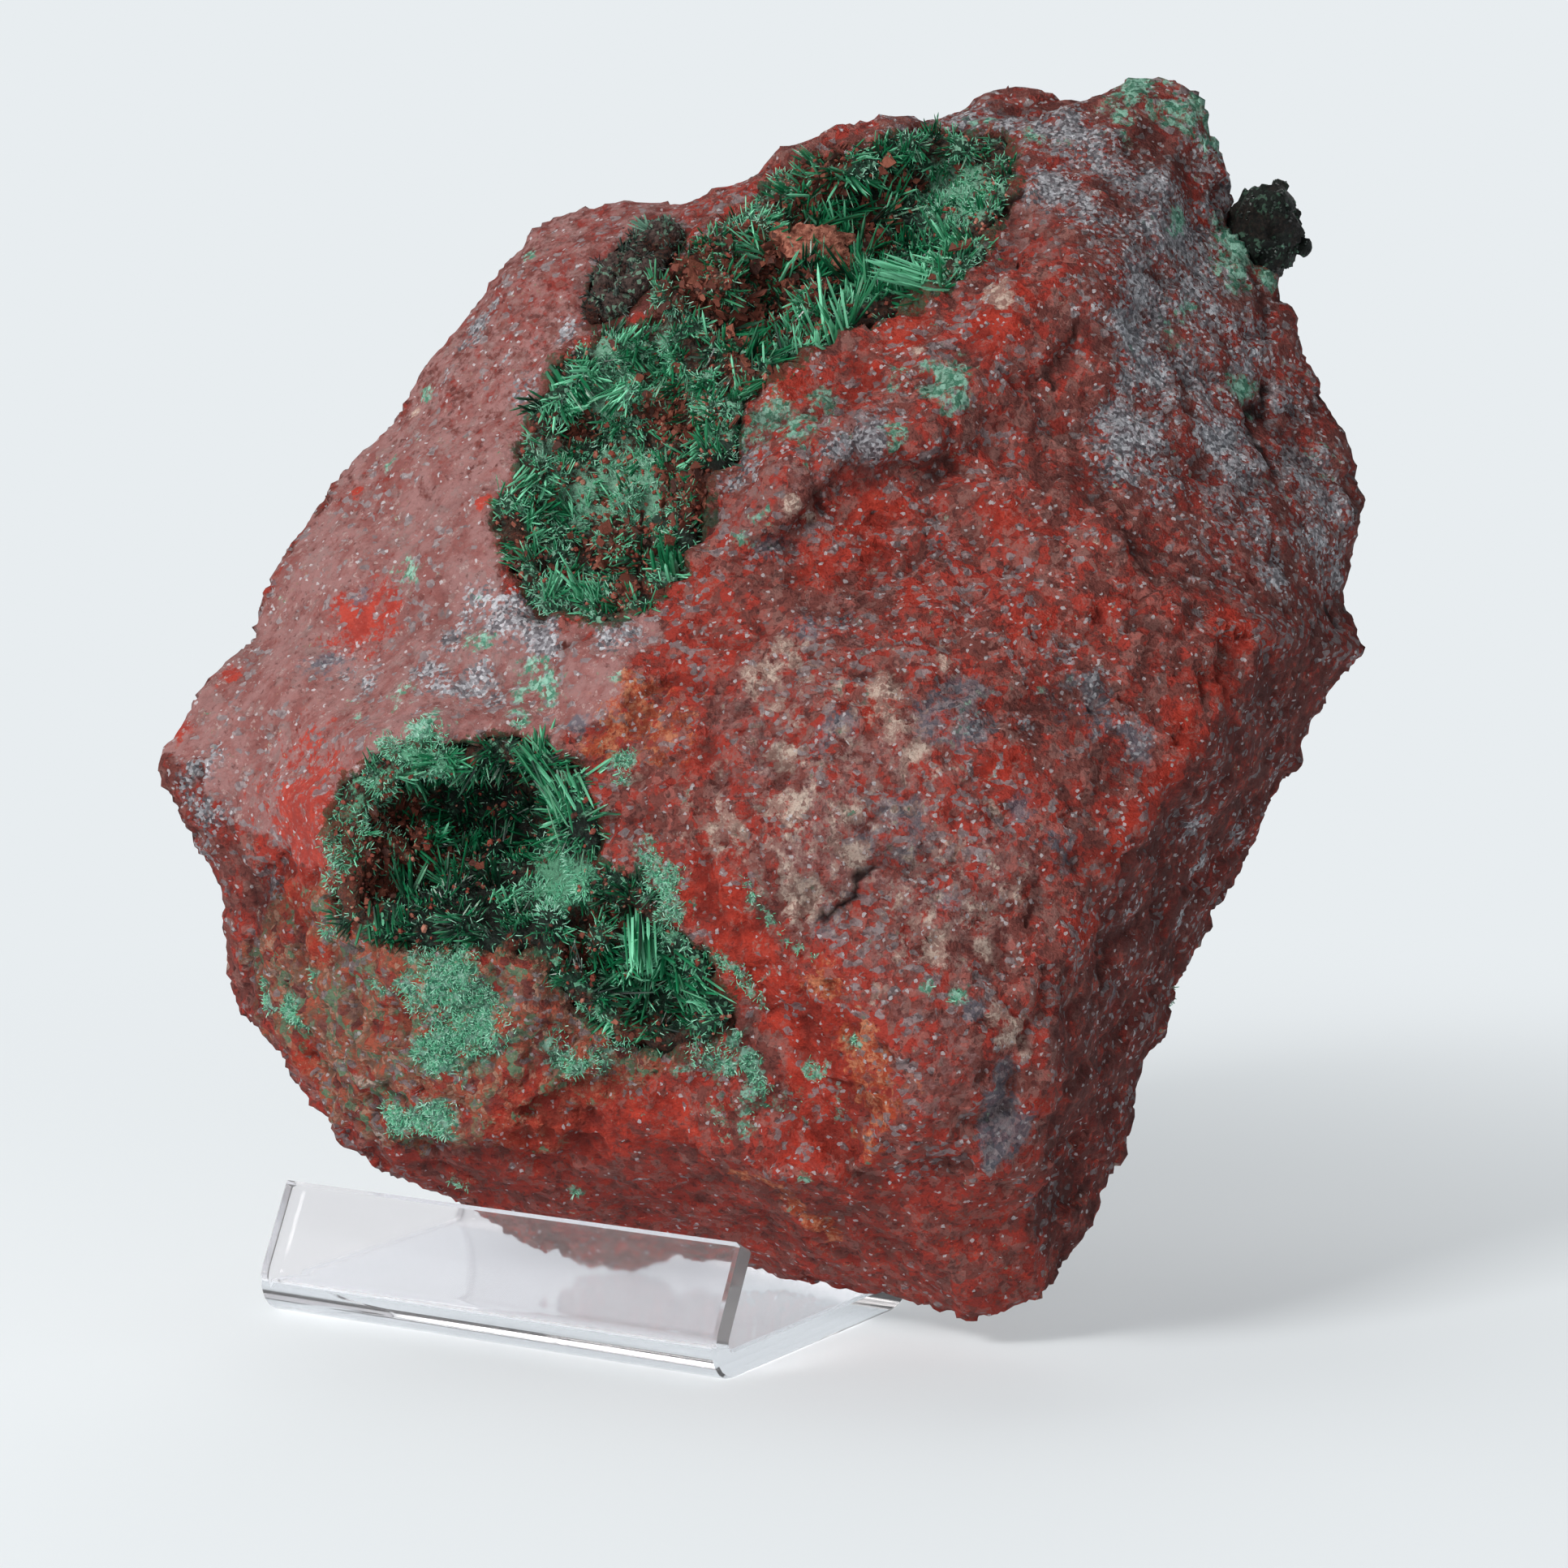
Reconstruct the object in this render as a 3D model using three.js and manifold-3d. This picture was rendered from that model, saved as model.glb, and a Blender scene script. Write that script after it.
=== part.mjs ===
// A brochantite specimen: a broken lump of red copper-oxide rock with two hollows full of green
// crystals, a crystal seam and a crystal knob on its edge, leaning on a clear folded stand.
// Millimetres, +Z up, +X along the stand's lip, +Y towards the back.
import * as THREE from "three";
import { ConvexHull } from "three/addons/math/ConvexHull.js";
import { mergeVertices } from "three/addons/utils/BufferGeometryUtils.js";
import Module from "manifold-3d";

// Stand: one strip of clear sheet, folded into a lip, a base, a back rest and a rear leg.
const sheet = 2.4;
const standWidth = 45.3;
const lipLength = 10.4;
const lipAngle = 62;
const baseLength = 30;
const restLength = 41;
const restAngle = 61;
const legFootY = 60;
const bendRadius = 1.8;
const bendSteps = 6;
const edgeBevel = 0.25;

// Clearance between two pieces that touch.
const gap = 0.3;

// Front view: the viewer looks at a point above the stand's right end, from this far away, turned
// to the stand's right and looking down a little.
const viewDistance = 350;
const viewTurn = 30.9;
const viewDrop = 7.3;
const viewTarget = new THREE.Vector3(24.65, 7.4, 47.6);

// Rock surface: the longest facet edge in front and at the back, the size and depth of the chips
// that break it up, how steeply a chip's face slants, and how far one chip stands above the next.
const longestEdge = 5.8;
const longestBackEdge = 9;
const chips = [
  { size: 11, depth: 0.7 },
  { size: 4.5, depth: 0.45 },
];
const chipSlant = 2.4;
const chipStep = 0.7;

// A hollow's lining of small crystals, its clearance from the rock, and the columns that stand on it.
const liningDepth = 1.6;
const liningGap = gap + 0.05;
const columnSides = 4;
const columnWidth = 0.7;
const columnSpread = 1.7;

const wasm = await Module();
wasm.setup();

// A point of the front view: h to the viewer's right and v up in the plane of the target, and near
// is how far the point lies from that plane, towards the viewer. It stays on its line of sight.
const turn = THREE.MathUtils.degToRad(viewTurn);
const drop = THREE.MathUtils.degToRad(viewDrop);
const ahead = new THREE.Vector3(
  -Math.sin(turn) * Math.cos(drop),
  Math.cos(turn) * Math.cos(drop),
  -Math.sin(drop),
);
const right = new THREE.Vector3(Math.cos(turn), Math.sin(turn), 0);
const upward = new THREE.Vector3().crossVectors(right, ahead);
const viewer = viewTarget.clone().addScaledVector(ahead, -viewDistance);

function seen([h, v, near]) {
  const sight = ahead.clone();
  sight.addScaledVector(right, h / viewDistance);
  sight.addScaledVector(upward, v / viewDistance);
  return viewer.clone().addScaledVector(sight, viewDistance - near);
}

// The front of the rock ends at this plane, and its back begins.
const backPlane = seen([0, 0, -36]);

// Fixed pseudo-random number from 0 to 1 for a place on a grid.
function chance(i, j, k, salt) {
  let n = Math.imul(i, 374761393) ^ Math.imul(j, 668265263);
  n ^= Math.imul(k, 1442695041) ^ Math.imul(salt, 1274126177);
  n = Math.imul(n ^ (n >>> 13), 1103515245);
  n = Math.imul(n ^ (n >>> 15), 668265263);
  return ((n ^ (n >>> 16)) >>> 0) / 2 ** 32;
}

// Height of the nearest chip's tilted face at a point.
function chipHeight(point, { size, depth }) {
  const place = point.clone().divideScalar(size);
  const home = place.clone().floor();
  let nearest = Infinity;
  let height = 0;
  for (let n = 0; n < 27; n++) {
    const step = [n % 3, Math.floor(n / 3) % 3, Math.floor(n / 9)];
    const cell = home.toArray().map((start, axis) => start + step[axis] - 1);
    const jitter = new THREE.Vector3(chance(...cell, 1), chance(...cell, 2), chance(...cell, 3));
    const away = place.clone().sub(jitter.add(new THREE.Vector3(...cell)));
    if (away.lengthSq() < nearest) {
      nearest = away.lengthSq();
      const tilt = new THREE.Vector3(chance(...cell, 4), chance(...cell, 5), chance(...cell, 6));
      height = away.dot(tilt.subScalar(0.5)) * chipSlant + (chance(...cell, 7) - 0.5) * chipStep;
    }
  }
  return height * depth;
}

// Splits every edge longer than the limit at its middle until none is left.
function refine(points, faces, longest, longestBack) {
  let split = true;
  while (split) {
    const middles = new Map();
    const middle = (a, b) => {
      const distance = points[a].distanceTo(points[b]);
      const near = points[a].clone().add(points[b]).multiplyScalar(0.5).sub(backPlane).dot(ahead) < 0;
      if (distance <= (near ? longest : longestBack)) return null;
      const key = a < b ? `${a} ${b}` : `${b} ${a}`;
      if (!middles.has(key)) {
        middles.set(key, points.length);
        points.push(points[a].clone().lerp(points[b], 0.5));
      }
      return middles.get(key);
    };
    faces = faces.flatMap(([a, b, c]) => {
      const [ab, bc, ca] = [middle(a, b), middle(b, c), middle(c, a)];
      const count = [ab, bc, ca].filter((m) => m !== null).length;
      if (count === 3) return [[a, ab, ca], [ab, b, bc], [ca, bc, c], [ab, bc, ca]];
      if (ab === null && count === 2) return [[c, ca, bc], ...quad(points, a, b, bc, ca)];
      if (bc === null && count === 2) return [[a, ab, ca], ...quad(points, b, c, ca, ab)];
      if (ca === null && count === 2) return [[b, bc, ab], ...quad(points, c, a, ab, bc)];
      if (ab !== null) return [[a, ab, c], [ab, b, c]];
      if (bc !== null) return [[b, bc, a], [bc, c, a]];
      if (ca !== null) return [[c, ca, b], [ca, a, b]];
      return [[a, b, c]];
    });
    split = middles.size > 0;
  }
  return faces;
}

// Two triangles for a four-sided face, along its shorter diagonal.
function quad(points, a, b, c, d) {
  if (points[a].distanceTo(points[c]) < points[b].distanceTo(points[d])) return [[a, b, c], [a, c, d]];
  return [[a, b, d], [b, c, d]];
}

// A closed solid from points and faces, and from a three.js geometry.
function solidFrom(points, faces) {
  const vertProperties = new Float32Array(points.flatMap((p) => p.toArray()));
  const triVerts = new Uint32Array(faces.flat());
  const made = new wasm.Manifold(new wasm.Mesh({ numProp: 3, vertProperties, triVerts }));
  if (made.volume() > 0) return made;
  return solidFrom(points, faces.map(([a, b, c]) => [a, c, b]));
}

function solidOf(geometry) {
  geometry.deleteAttribute("normal");
  geometry.deleteAttribute("uv");
  const merged = mergeVertices(geometry, 1e-4);
  const place = merged.getAttribute("position");
  const points = [];
  for (let n = 0; n < place.count; n++) points.push(new THREE.Vector3().fromBufferAttribute(place, n));
  const corners = Array.from(merged.index.array);
  const faces = [];
  for (let n = 0; n < corners.length; n += 3) faces.push(corners.slice(n, n + 3));
  const whole = faces.filter(([a, b, c]) => a !== b && b !== c && c !== a);
  return solidFrom(points, whole);
}

// The largest piece of a cut solid, as a named mesh.
function piece(name, solid, material) {
  const [largest] = solid.decompose().sort((a, b) => b.volume() - a.volume());
  const { numProp, vertProperties, triVerts } = largest.getMesh();
  const geometry = new THREE.BufferGeometry();
  geometry.setAttribute("position", new THREE.BufferAttribute(vertProperties, numProp));
  geometry.setIndex(new THREE.BufferAttribute(triVerts, 1));
  geometry.computeVertexNormals();
  const mesh = new THREE.Mesh(geometry, material);
  mesh.name = name;
  return mesh;
}

// Rock corners in the front view. The outline runs clockwise from the left tip.
const outline = [
  [-49.5, 2.5, -26], [-46.5, 7, -28], [-42, 12.5, -31], [-41.2, 16, -32], [-36, 24, -34],
  [-31, 29, -35], [-28, 34.3, -36], [-22.7, 40.5, -38], [-19, 45, -40], [-13, 47, -38],
  [-8, 46, -37], [-3.5, 48, -37], [0, 49.8, -37], [5, 51.6, -37], [13, 53, -38],
  [17.5, 55.4, -40], [24.5, 54.7, -38], [28.4, 55.8, -37], [30, 54, -35], [33, 54.9, -36],
  [34.6, 51.3, -36], [36.5, 46.5, -37], [40.2, 40, -34], [41.3, 34.5, -33], [43.7, 29, -32],
  [45.8, 22.5, -30], [45, 14, -28], [46.9, 10.3, -27], [43, 6.8, -28], [40.3, 1.5, -28],
  [37, -5, -27], [34.5, -11.3, -26], [31, -16, -25], [29, -22.5, -23], [26.8, -29.5, -21],
  [25, -34, -19], [23, -38.5, -16], [20.5, -41.5, -13], [15.5, -43, -12], [10, -41.2, -16],
  [5, -40.3, -20], [-2, -38.8, -26], [-8, -38.3, -28], [-15, -38, -29], [-22, -35.5, -29],
  [-25.5, -33.4, -27], [-30, -31.3, -25], [-34.5, -28, -23], [-38.3, -25, -25], [-41, -20.3, -27],
  [-43.9, -17.9, -30], [-41, -15, -32], [-41.3, -11.5, -31], [-44.5, -8.3, -27], [-47.5, -3.5, -27],
];

// The smooth slope on the left, from the outline in to the hollows.
const leftSlope = [
  [-26, 33, -31], [-20.5, 39.5, -32], [-29, 26, -27], [-34, 18, -25], [-31, 12, -20],
  [-39, 9.5, -23], [-27, 6, -12], [-35, 4, -16], [-42, 5.5, -22], [-43.5, 0, -21],
  [-38, -1, -13], [-32, 4, -11], [-16.5, 38, -27.5], [-20.5, 32, -25], [-21.5, 26, -22],
  [-24.8, 20.5, -20], [-22.5, 13.5, -16], [-20, 8.5, -12], [-15, 43, -33],
];

// The rim of the upper hollow, the ridge to its right, and the ledge under it.
const upperRim = [
  [-11.5, 38.8, -25.5], [-9, 42, -27.5], [-6, 45.5, -31], [-2, 48.6, -34], [5, 51.6, -35],
  [13, 52.2, -35.5], [19, 51.5, -32], [19.5, 47, -27], [17.5, 43, -22.5], [14, 38.5, -18.5],
  [8, 35.5, -17], [3, 32.5, -16.5], [-2, 29.5, -16.5], [-4, 25.5, -15.5], [-6, 20.5, -13.5],
  [-7, 16.5, -11.5], [-11, 12.5, -10], [-16, 10.5, -10],
];
const ridge = [
  [27.5, 51.5, -31], [25.5, 47.5, -26.5], [22.5, 43, -21.5], [20.5, 39.5, -18], [17.8, 35.5, -15],
  [15, 32, -12.5], [12, 28.3, -11], [7.5, 26.5, -10.5], [3.5, 24.8, -10.5], [0, 21, -10],
];
const ledgeFoot = [
  [18.5, 29.5, -14.5], [14.5, 25.5, -13], [9.5, 22.5, -12.3], [5, 20.3, -11.8], [1, 17.8, -10.8],
];

// The broad middle of the front, and the nearer bulge below it.
const middle = [
  [20, 26, -13], [12, 20, -10.5], [5, 16, -8.5], [-3, 13, -8], [25, 20, -10],
  [30, 15, -8], [21, 14, -6], [13, 11, -3.5], [5, 8, -2], [-3, 7, -3.5],
  [-10, 6, -5.5], [28, 8, -3.5], [20, 5, -0.5], [11, 2, 1.5], [2, 0, 1.5],
  [-6, -1, -1], [-12.5, -1, -4.5], [17, -3, 2.5], [8, -7, 4], [-1, -8, 2],
  [-8.5, -8.5, -1.5], [14, -12, 5], [5, -15, 4], [16, -20, 6], [9, -21, 6],
  [14.5, -26, 4.5], [8, -27.3, 3], [16.5, -30, 0.5],
];

// The red hollow left of the bulge, and the crusted corner at the lower left.
const redHollow = [[-2, -15, -1], [0, -21, -3], [3.5, -25.5, -1.5], [-3, -26, -4.5], [-8, -24, -5]];
const lowerLeft = [
  [-31.5, 4, -10.5], [-24.5, 5.2, -9], [-17.5, 4, -7], [-13.2, -5, -4.5], [-17, -14.5, -5],
  [-23, -15, -5.5], [-30, -14.5, -8.5], [-36.8, -12.5, -15], [-37.5, -6, -15], [-41, -7, -20],
  [-28, -19, -7.5], [-21, -20, -5], [-34, -21, -13], [-38.5, -18, -19.5], [-13, -22.5, -5],
];

// The edge above the bottom face, and that face itself, which runs back to the base of the stand.
const frontEdge = [
  [5, -30.3, -0.5], [-1, -31, -3.5], [-6, -28.5, -5], [-12, -27.3, -6], [-19, -27, -7.5],
  [-25, -28.6, -10.5], [-31, -28.3, -16],
];
const bottomFace = [[13, -37, -7], [6, -35.5, -9], [-1, -35, -12], [-10, -33, -14], [-19, -31.8, -16]];

// The speckled grey face at the upper right.
const rightSlope = [
  [31, 50, -31], [29, 44, -25], [25.5, 38, -19], [22.5, 33, -16], [34, 43, -32],
  [33, 37, -26], [28.5, 30, -17.5], [35.5, 30, -24], [33, 23, -16], [39, 36.5, -31],
  [40, 29, -28], [39.5, 22, -21], [36.5, 15.5, -12.5], [42, 17, -21], [43, 23.5, -27],
];

// The near edge that runs down the right side, and the dark face behind it.
const rightEdge = [
  [38.3, 12.5, -10.5], [36, 7.5, -6], [33.3, 3.3, -4], [29.7, 0, -2], [26, -5.5, 0.5],
  [23.5, -10.5, 2.5], [22, -15.5, 3.5], [21.3, -21, 3], [20.5, -27, 1], [20, -33, -5],
  [19.5, -38, -9],
];
const rightFace = [
  [42.5, 11, -20], [39.5, 6.5, -18], [36, 0, -14], [32, -5, -11], [28.5, -11, -9],
  [26.5, -17, -8.5], [25, -23.5, -10], [23.5, -30, -12], [33.5, -8.5, -19], [29.5, -17, -17],
];

// The far side, which the front view doesn't show: a flat face that leans on the back rest, a left
// side, and a slope up to the top. Each corner is its place across the stand, its height, and how
// far it lies beyond the middle of the back rest's sheet.
const farSide = [
  [-4, 6.5, -5], [14, 6, -2.6], [30, 7, -3], [-17, 13, -8], [-8, 17, -2.2],
  [8, 17, -1.9], [24, 17, -2], [35, 20, -3], [-26, 27, -12], [-15, 29, -2],
  [2, 29, -1.9], [18, 29, -2], [33, 31, -1.5], [-33, 35, -24], [-22, 43, -3],
  [-2, 42, -1], [18, 43, 0.5], [36, 44, 2], [-36, 47, -27], [-26, 57, -9],
  [-6, 57, 0], [15, 59, 3], [34, 58, 4], [45, 60, 1], [-33, 60, -26],
  [-19, 71, -14], [-2, 72, -4], [18, 74, 0], [37, 73, 1], [-26, 75, -28],
  [-11, 84, -22], [6, 87, -13], [22, 88, -7], [35, 86, -6], [2, 95, -25],
  [18, 98, -17],
];

function behindRest([x, z, beyond]) {
  const rest = THREE.MathUtils.degToRad(restAngle);
  return new THREE.Vector3(x, baseLength + beyond / Math.sin(rest) + (z - sheet / 2) / Math.tan(rest), z);
}

// The rock before anything is cut from it: its corners joined as they lie round its heart, the
// faces split into small facets, and the facets pushed in and out by the chips.
const heart = seen([0, 4, -28]);
const frontSide = [
  outline, leftSlope, upperRim, ridge, ledgeFoot, middle, redHollow, lowerLeft,
  frontEdge, bottomFace, rightSlope, rightEdge, rightFace,
].flat();
const rockCorners = [...frontSide.map(seen), ...farSide.map(behindRest)];

function joinRoundHeart(points) {
  const directions = points.map((p) => p.clone().sub(heart).normalize());
  const order = new Map(directions.map((d, n) => [d, n]));
  return new ConvexHull().setFromPoints(directions).faces.map((face) => {
    const first = face.edge;
    return [first, first.next, first.next.next].map((edge) => order.get(edge.head().point));
  });
}

function outwardNormals(points, faces) {
  const normals = points.map(() => new THREE.Vector3());
  for (const [a, b, c] of faces) {
    const side = points[b].clone().sub(points[a]);
    const normal = side.cross(points[c].clone().sub(points[a]));
    for (const n of [a, b, c]) normals[n].add(normal);
  }
  return normals.map((n) => n.normalize());
}

function rockBody() {
  const points = rockCorners.map((p) => p.clone());
  const faces = refine(points, joinRoundHeart(points), longestEdge, longestBackEdge);
  const normals = outwardNormals(points, faces);
  const heights = points.map((p) => chips.reduce((sum, chip) => sum + chipHeight(p, chip), 0));
  points.forEach((p, n) => p.addScaledVector(normals[n], heights[n]));
  return solidFrom(points, faces);
}

// A hollow, drawn by its rim in the front view. Its mouth is a plane through the rim, and depth is
// how far its floor lies behind that plane. lean moves the floor sideways under the rim.
const rimSteps = 17;
const bowlSteps = 3;
const bowlFullness = 0.6;
const narrowestRing = 0.05;
const mouthReach = 9;
const wallWobble = 1.1;

function hollow({ rim, mouth, depth, lean = [0, 0] }, inset) {
  const centre = rim.reduce(([h, v], p) => [h + p[0] / rim.length, v + p[1] / rim.length], [0, 0]);
  const path = new THREE.CatmullRomCurve3(rim.map(([h, v]) => new THREE.Vector3(h, v, 0)), true);
  const plane = (h, v) => mouth.near + mouth.acrossH * (h - centre[0]) + mouth.alongV * (v - centre[1]);
  const rings = [{ width: 1, sink: -mouthReach }, { width: 1, sink: 0 }];
  for (let step = 1; step <= bowlSteps; step++) {
    const angle = (step / (bowlSteps + 1)) * (Math.PI / 2);
    rings.push({ width: Math.cos(angle) ** bowlFullness, sink: Math.sin(angle) });
  }
  const points = [];
  rings.forEach(({ width, sink }, r) => {
    for (let n = 0; n < rimSteps; n++) {
      const edge = path.getPoint(n / rimSteps);
      const [dh, dv] = [edge.x - centre[0], edge.y - centre[1]];
      const wobble = r > 1 ? (chance(r, n, 0, 11) - 0.5) * wallWobble : 0;
      const reach = Math.hypot(dh, dv);
      const share = Math.max((width * reach - inset + wobble) / reach, narrowestRing);
      const deep = Math.max(sink, 0);
      const h = centre[0] + dh * share + lean[0] * deep;
      const v = centre[1] + dv * share + lean[1] * deep;
      const behind = sink > 0 ? sink * (depth - inset) : sink;
      points.push(seen([h, v, plane(h, v) - behind]));
    }
  });
  const front = points.push(seen([centre[0], centre[1], plane(...centre) + mouthReach])) - 1;
  const floor = [centre[0] + lean[0], centre[1] + lean[1]];
  const back = points.push(seen([...floor, plane(...floor) - (depth - inset)])) - 1;
  const faces = [];
  for (let n = 0; n < rimSteps; n++) {
    const next = (n + 1) % rimSteps;
    faces.push([front, n, next]);
    for (let r = 0; r + 1 < rings.length; r++) {
      const [a, b] = [r * rimSteps + n, r * rimSteps + next];
      faces.push([a, a + rimSteps, b], [b, a + rimSteps, b + rimSteps]);
    }
    const last = (rings.length - 1) * rimSteps;
    faces.push([last + n, back, last + next]);
  }
  return { solid: solidFrom(points, faces), walls: points.slice(2 * rimSteps, -2) };
}

const upperHollow = [
  {
    rim: [
      [17.8, 51], [18.4, 47.3], [16.3, 44], [15.3, 41], [12.5, 38.6], [8, 36.5], [3, 34],
      [-3, 30.5], [-9, 30.5], [-12, 35.5], [-9, 41], [-6, 44.3], [-2, 47.4], [3, 50], [10, 51.3],
    ],
    mouth: { near: -24, acrossH: -0.1, alongV: -0.9 },
    depth: 8.5,
  },
  {
    rim: [
      [-4.5, 32.5], [-3.2, 28.5], [-5, 24.3], [-6.6, 21], [-7, 17.3], [-10, 14], [-15, 12.2],
      [-19.3, 13.7], [-22, 18], [-23.2, 20.8], [-20.6, 25.5], [-19.6, 31.5], [-16, 34.6], [-10, 37],
    ],
    mouth: { near: -18, acrossH: 0.15, alongV: -0.5 },
    depth: 6.5,
  },
];
const lowerHollow = [
  {
    rim: [
      [-31, 2.8], [-26, 2.7], [-22.5, 3.8], [-18.5, 2.6], [-15.5, 0.3], [-14.9, -4.5], [-15, -9.3],
      [-18, -12.6], [-23, -13.5], [-29, -12.6], [-34, -12.3], [-36.2, -10.5], [-34.3, -7.5],
      [-36, -4], [-35.3, -0.5], [-33, 1.2],
    ],
    mouth: { near: -8.5, acrossH: 0.35, alongV: -0.15 },
    depth: 13,
    lean: [1.5, 3],
  },
  {
    rim: [
      [-18, -6.5], [-12.5, -7], [-8, -12], [-5.2, -15], [-4.2, -18], [-6.2, -21], [-11, -21],
      [-15.2, -18.8], [-18, -15.5], [-20.5, -11],
    ],
    mouth: { near: -4, acrossH: 0.1, alongV: 0.1 },
    depth: 6.5,
  },
];
const seamHollow = [
  {
    rim: [
      [-15.4, 36.4], [-15, 39.8], [-12.6, 42.6], [-10, 44.2], [-8.4, 44], [-8.6, 42.2],
      [-10.2, 40.4], [-12.4, 38.2],
    ],
    mouth: { near: -31, acrossH: -0.5, alongV: -0.9 },
    depth: 6,
  },
];

// One crystal: a column that narrows a little up to its shoulder and ends in a point.
function column(root, direction, length, width) {
  const shoulder = [width * 0.9, length * 0.78];
  const profile = [[0, 0], [width, 0], shoulder, [0, length]];
  const shape = new THREE.LatheGeometry(profile.map((p) => new THREE.Vector2(...p)), columnSides);
  const turned = new THREE.Quaternion().setFromUnitVectors(new THREE.Vector3(0, 1, 0), direction);
  return solidOf(shape.applyQuaternion(turned).translate(...root.toArray()));
}

// Columns that stand on a hollow's wall, point to its mouth and spread a little.
function columnsOn({ walls }, count, length, salt) {
  return Array.from({ length: count }, (_, n) => {
    const luck = (draw) => chance(n, salt, 0, draw);
    const root = walls[Math.floor(luck(21) * walls.length)].clone();
    const spread = new THREE.Vector3(luck(22), luck(23), luck(24)).subScalar(0.5);
    const direction = ahead.clone().negate().addScaledVector(spread, columnSpread).normalize();
    const size = 0.7 + 0.6 * luck(25);
    root.addScaledVector(ahead, liningDepth / 2);
    return column(root, direction, length * size, columnWidth * size);
  });
}

// The crystal crust of a hollow: its lining and columns, which stay clear of the rock all round.
function crust(hollows, body, counts, length) {
  const within = wasm.Manifold.union(hollows.map((each) => hollow(each, liningGap).solid));
  const inner = hollows.map((each) => hollow(each, liningDepth + gap));
  const lining = within.intersect(body).subtract(wasm.Manifold.union(inner.map((each) => each.solid)));
  const columns = inner.flatMap((each, n) => columnsOn(each, counts[n], length, n + 31));
  return wasm.Manifold.union([lining, ...columns]).intersect(within);
}

// The crystal knob behind the upper right edge: a jagged lump with columns all over it.
const knobCentre = seen([38, 44, -36.5]);
const knobSize = new THREE.Vector3(3.3, 4.8, 4.2);
const knobColumns = 12;
const goldenAngle = 2.39996;

function knobLump(grow) {
  const lump = new THREE.IcosahedronGeometry(1, 1);
  const corners = lump.getAttribute("position");
  for (let n = 0; n < corners.count; n++) {
    const corner = new THREE.Vector3().fromBufferAttribute(corners, n);
    const share = 0.8 + 0.3 * chance(...corner.clone().multiplyScalar(9).round().toArray(), 42);
    const size = knobSize.clone().multiplyScalar(share).addScalar(grow);
    corners.setXYZ(n, ...corner.multiply(size).toArray());
  }
  const turned = new THREE.Matrix4().makeBasis(right, ahead, upward);
  return solidOf(lump.applyMatrix4(turned).translate(...knobCentre.toArray()));
}

function knobCrystals() {
  const columns = Array.from({ length: knobColumns }, (_, n) => {
    const angle = n * goldenAngle;
    const height = 1 - (2 * n + 1) / knobColumns;
    const flat = Math.sqrt(1 - height ** 2);
    const direction = new THREE.Vector3(flat * Math.cos(angle), flat * Math.sin(angle), height);
    const root = knobCentre.clone().addScaledVector(direction, 2);
    return column(root, direction, 2 + 0.8 * chance(n, 3, 0, 41), 0.9);
  });
  return wasm.Manifold.union([knobLump(0), ...columns]);
}

// The stand's strip, seen from its end: straights joined by round bends, thickened by the sheet.
function stripOutline(grow) {
  const [lip, rest] = [lipAngle, restAngle].map(THREE.MathUtils.degToRad);
  const half = sheet / 2;
  const frontY = bendRadius + half - bendRadius * Math.tan((Math.PI - lip) / 2);
  const lipEnd = lipLength + grow;
  const corners = [
    [frontY + lipEnd * Math.cos(lip), half + lipEnd * Math.sin(lip)],
    [frontY, half],
    [baseLength, half],
    [baseLength + restLength * Math.cos(rest), half + restLength * Math.sin(rest)],
    [legFootY, 0],
  ].map((p) => new THREE.Vector2(...p));
  const sides = [[], []];
  const thicken = (point, along) => {
    const across = new THREE.Vector2(along.y, -along.x);
    sides[0].push(point.clone().addScaledVector(across, half + grow));
    sides[1].push(point.clone().addScaledVector(across, -half - grow));
  };
  const ways = corners.slice(1).map((corner, n) => corner.clone().sub(corners[n]).normalize());
  thicken(corners[0], ways[0]);
  for (let n = 1; n < corners.length - 1; n++) {
    const turned = Math.atan2(ways[n - 1].cross(ways[n]), ways[n - 1].dot(ways[n]));
    const reach = bendRadius * Math.tan(Math.abs(turned) / 2);
    const start = corners[n].clone().addScaledVector(ways[n - 1], -reach);
    const side = new THREE.Vector2(-ways[n - 1].y, ways[n - 1].x).multiplyScalar(Math.sign(turned));
    const centre = start.clone().addScaledVector(side, bendRadius);
    for (let step = 0; step <= bendSteps; step++) {
      const angle = (turned * step) / bendSteps;
      const way = ways[n - 1].clone().rotateAround(new THREE.Vector2(), angle);
      thicken(start.clone().rotateAround(centre, angle), way);
    }
  }
  thicken(corners.at(-1), ways.at(-1));
  for (const side of sides) {
    side.at(-1).addScaledVector(ways.at(-1), -(side.at(-1).y + grow) / ways.at(-1).y);
  }
  return [...sides[0], ...sides[1].reverse()];
}

function strip(grow) {
  const shape = new THREE.Shape(stripOutline(grow));
  const bevel = grow ? 0 : edgeBevel;
  const width = standWidth + 2 * grow - 2 * bevel;
  const form = new THREE.ExtrudeGeometry(shape, {
    depth: width, bevelEnabled: bevel > 0, bevelSegments: 1,
    bevelThickness: bevel, bevelSize: bevel, bevelOffset: -bevel,
  });
  const [x, y, z] = [0, 1, 2].map((n) => new THREE.Vector3().setComponent(n, 1));
  form.translate(0, 0, -width / 2);
  return solidOf(form.applyMatrix4(new THREE.Matrix4().makeBasis(y, z, x)));
}

// Materials, by what the eye sees first.
const paint = (color, roughness, metalness = 0) =>
  new THREE.MeshStandardMaterial({ color, roughness, metalness });
const rockRed = paint("#6d3330", 0.85);
const crystalGreen = paint("#0f6b47", 0.35);
const darkGreen = paint("#16352a", 0.3);
const clearSheet = paint("#e6ecee", 0.08);
clearSheet.transparent = true;
clearSheet.opacity = 0.3;

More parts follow.
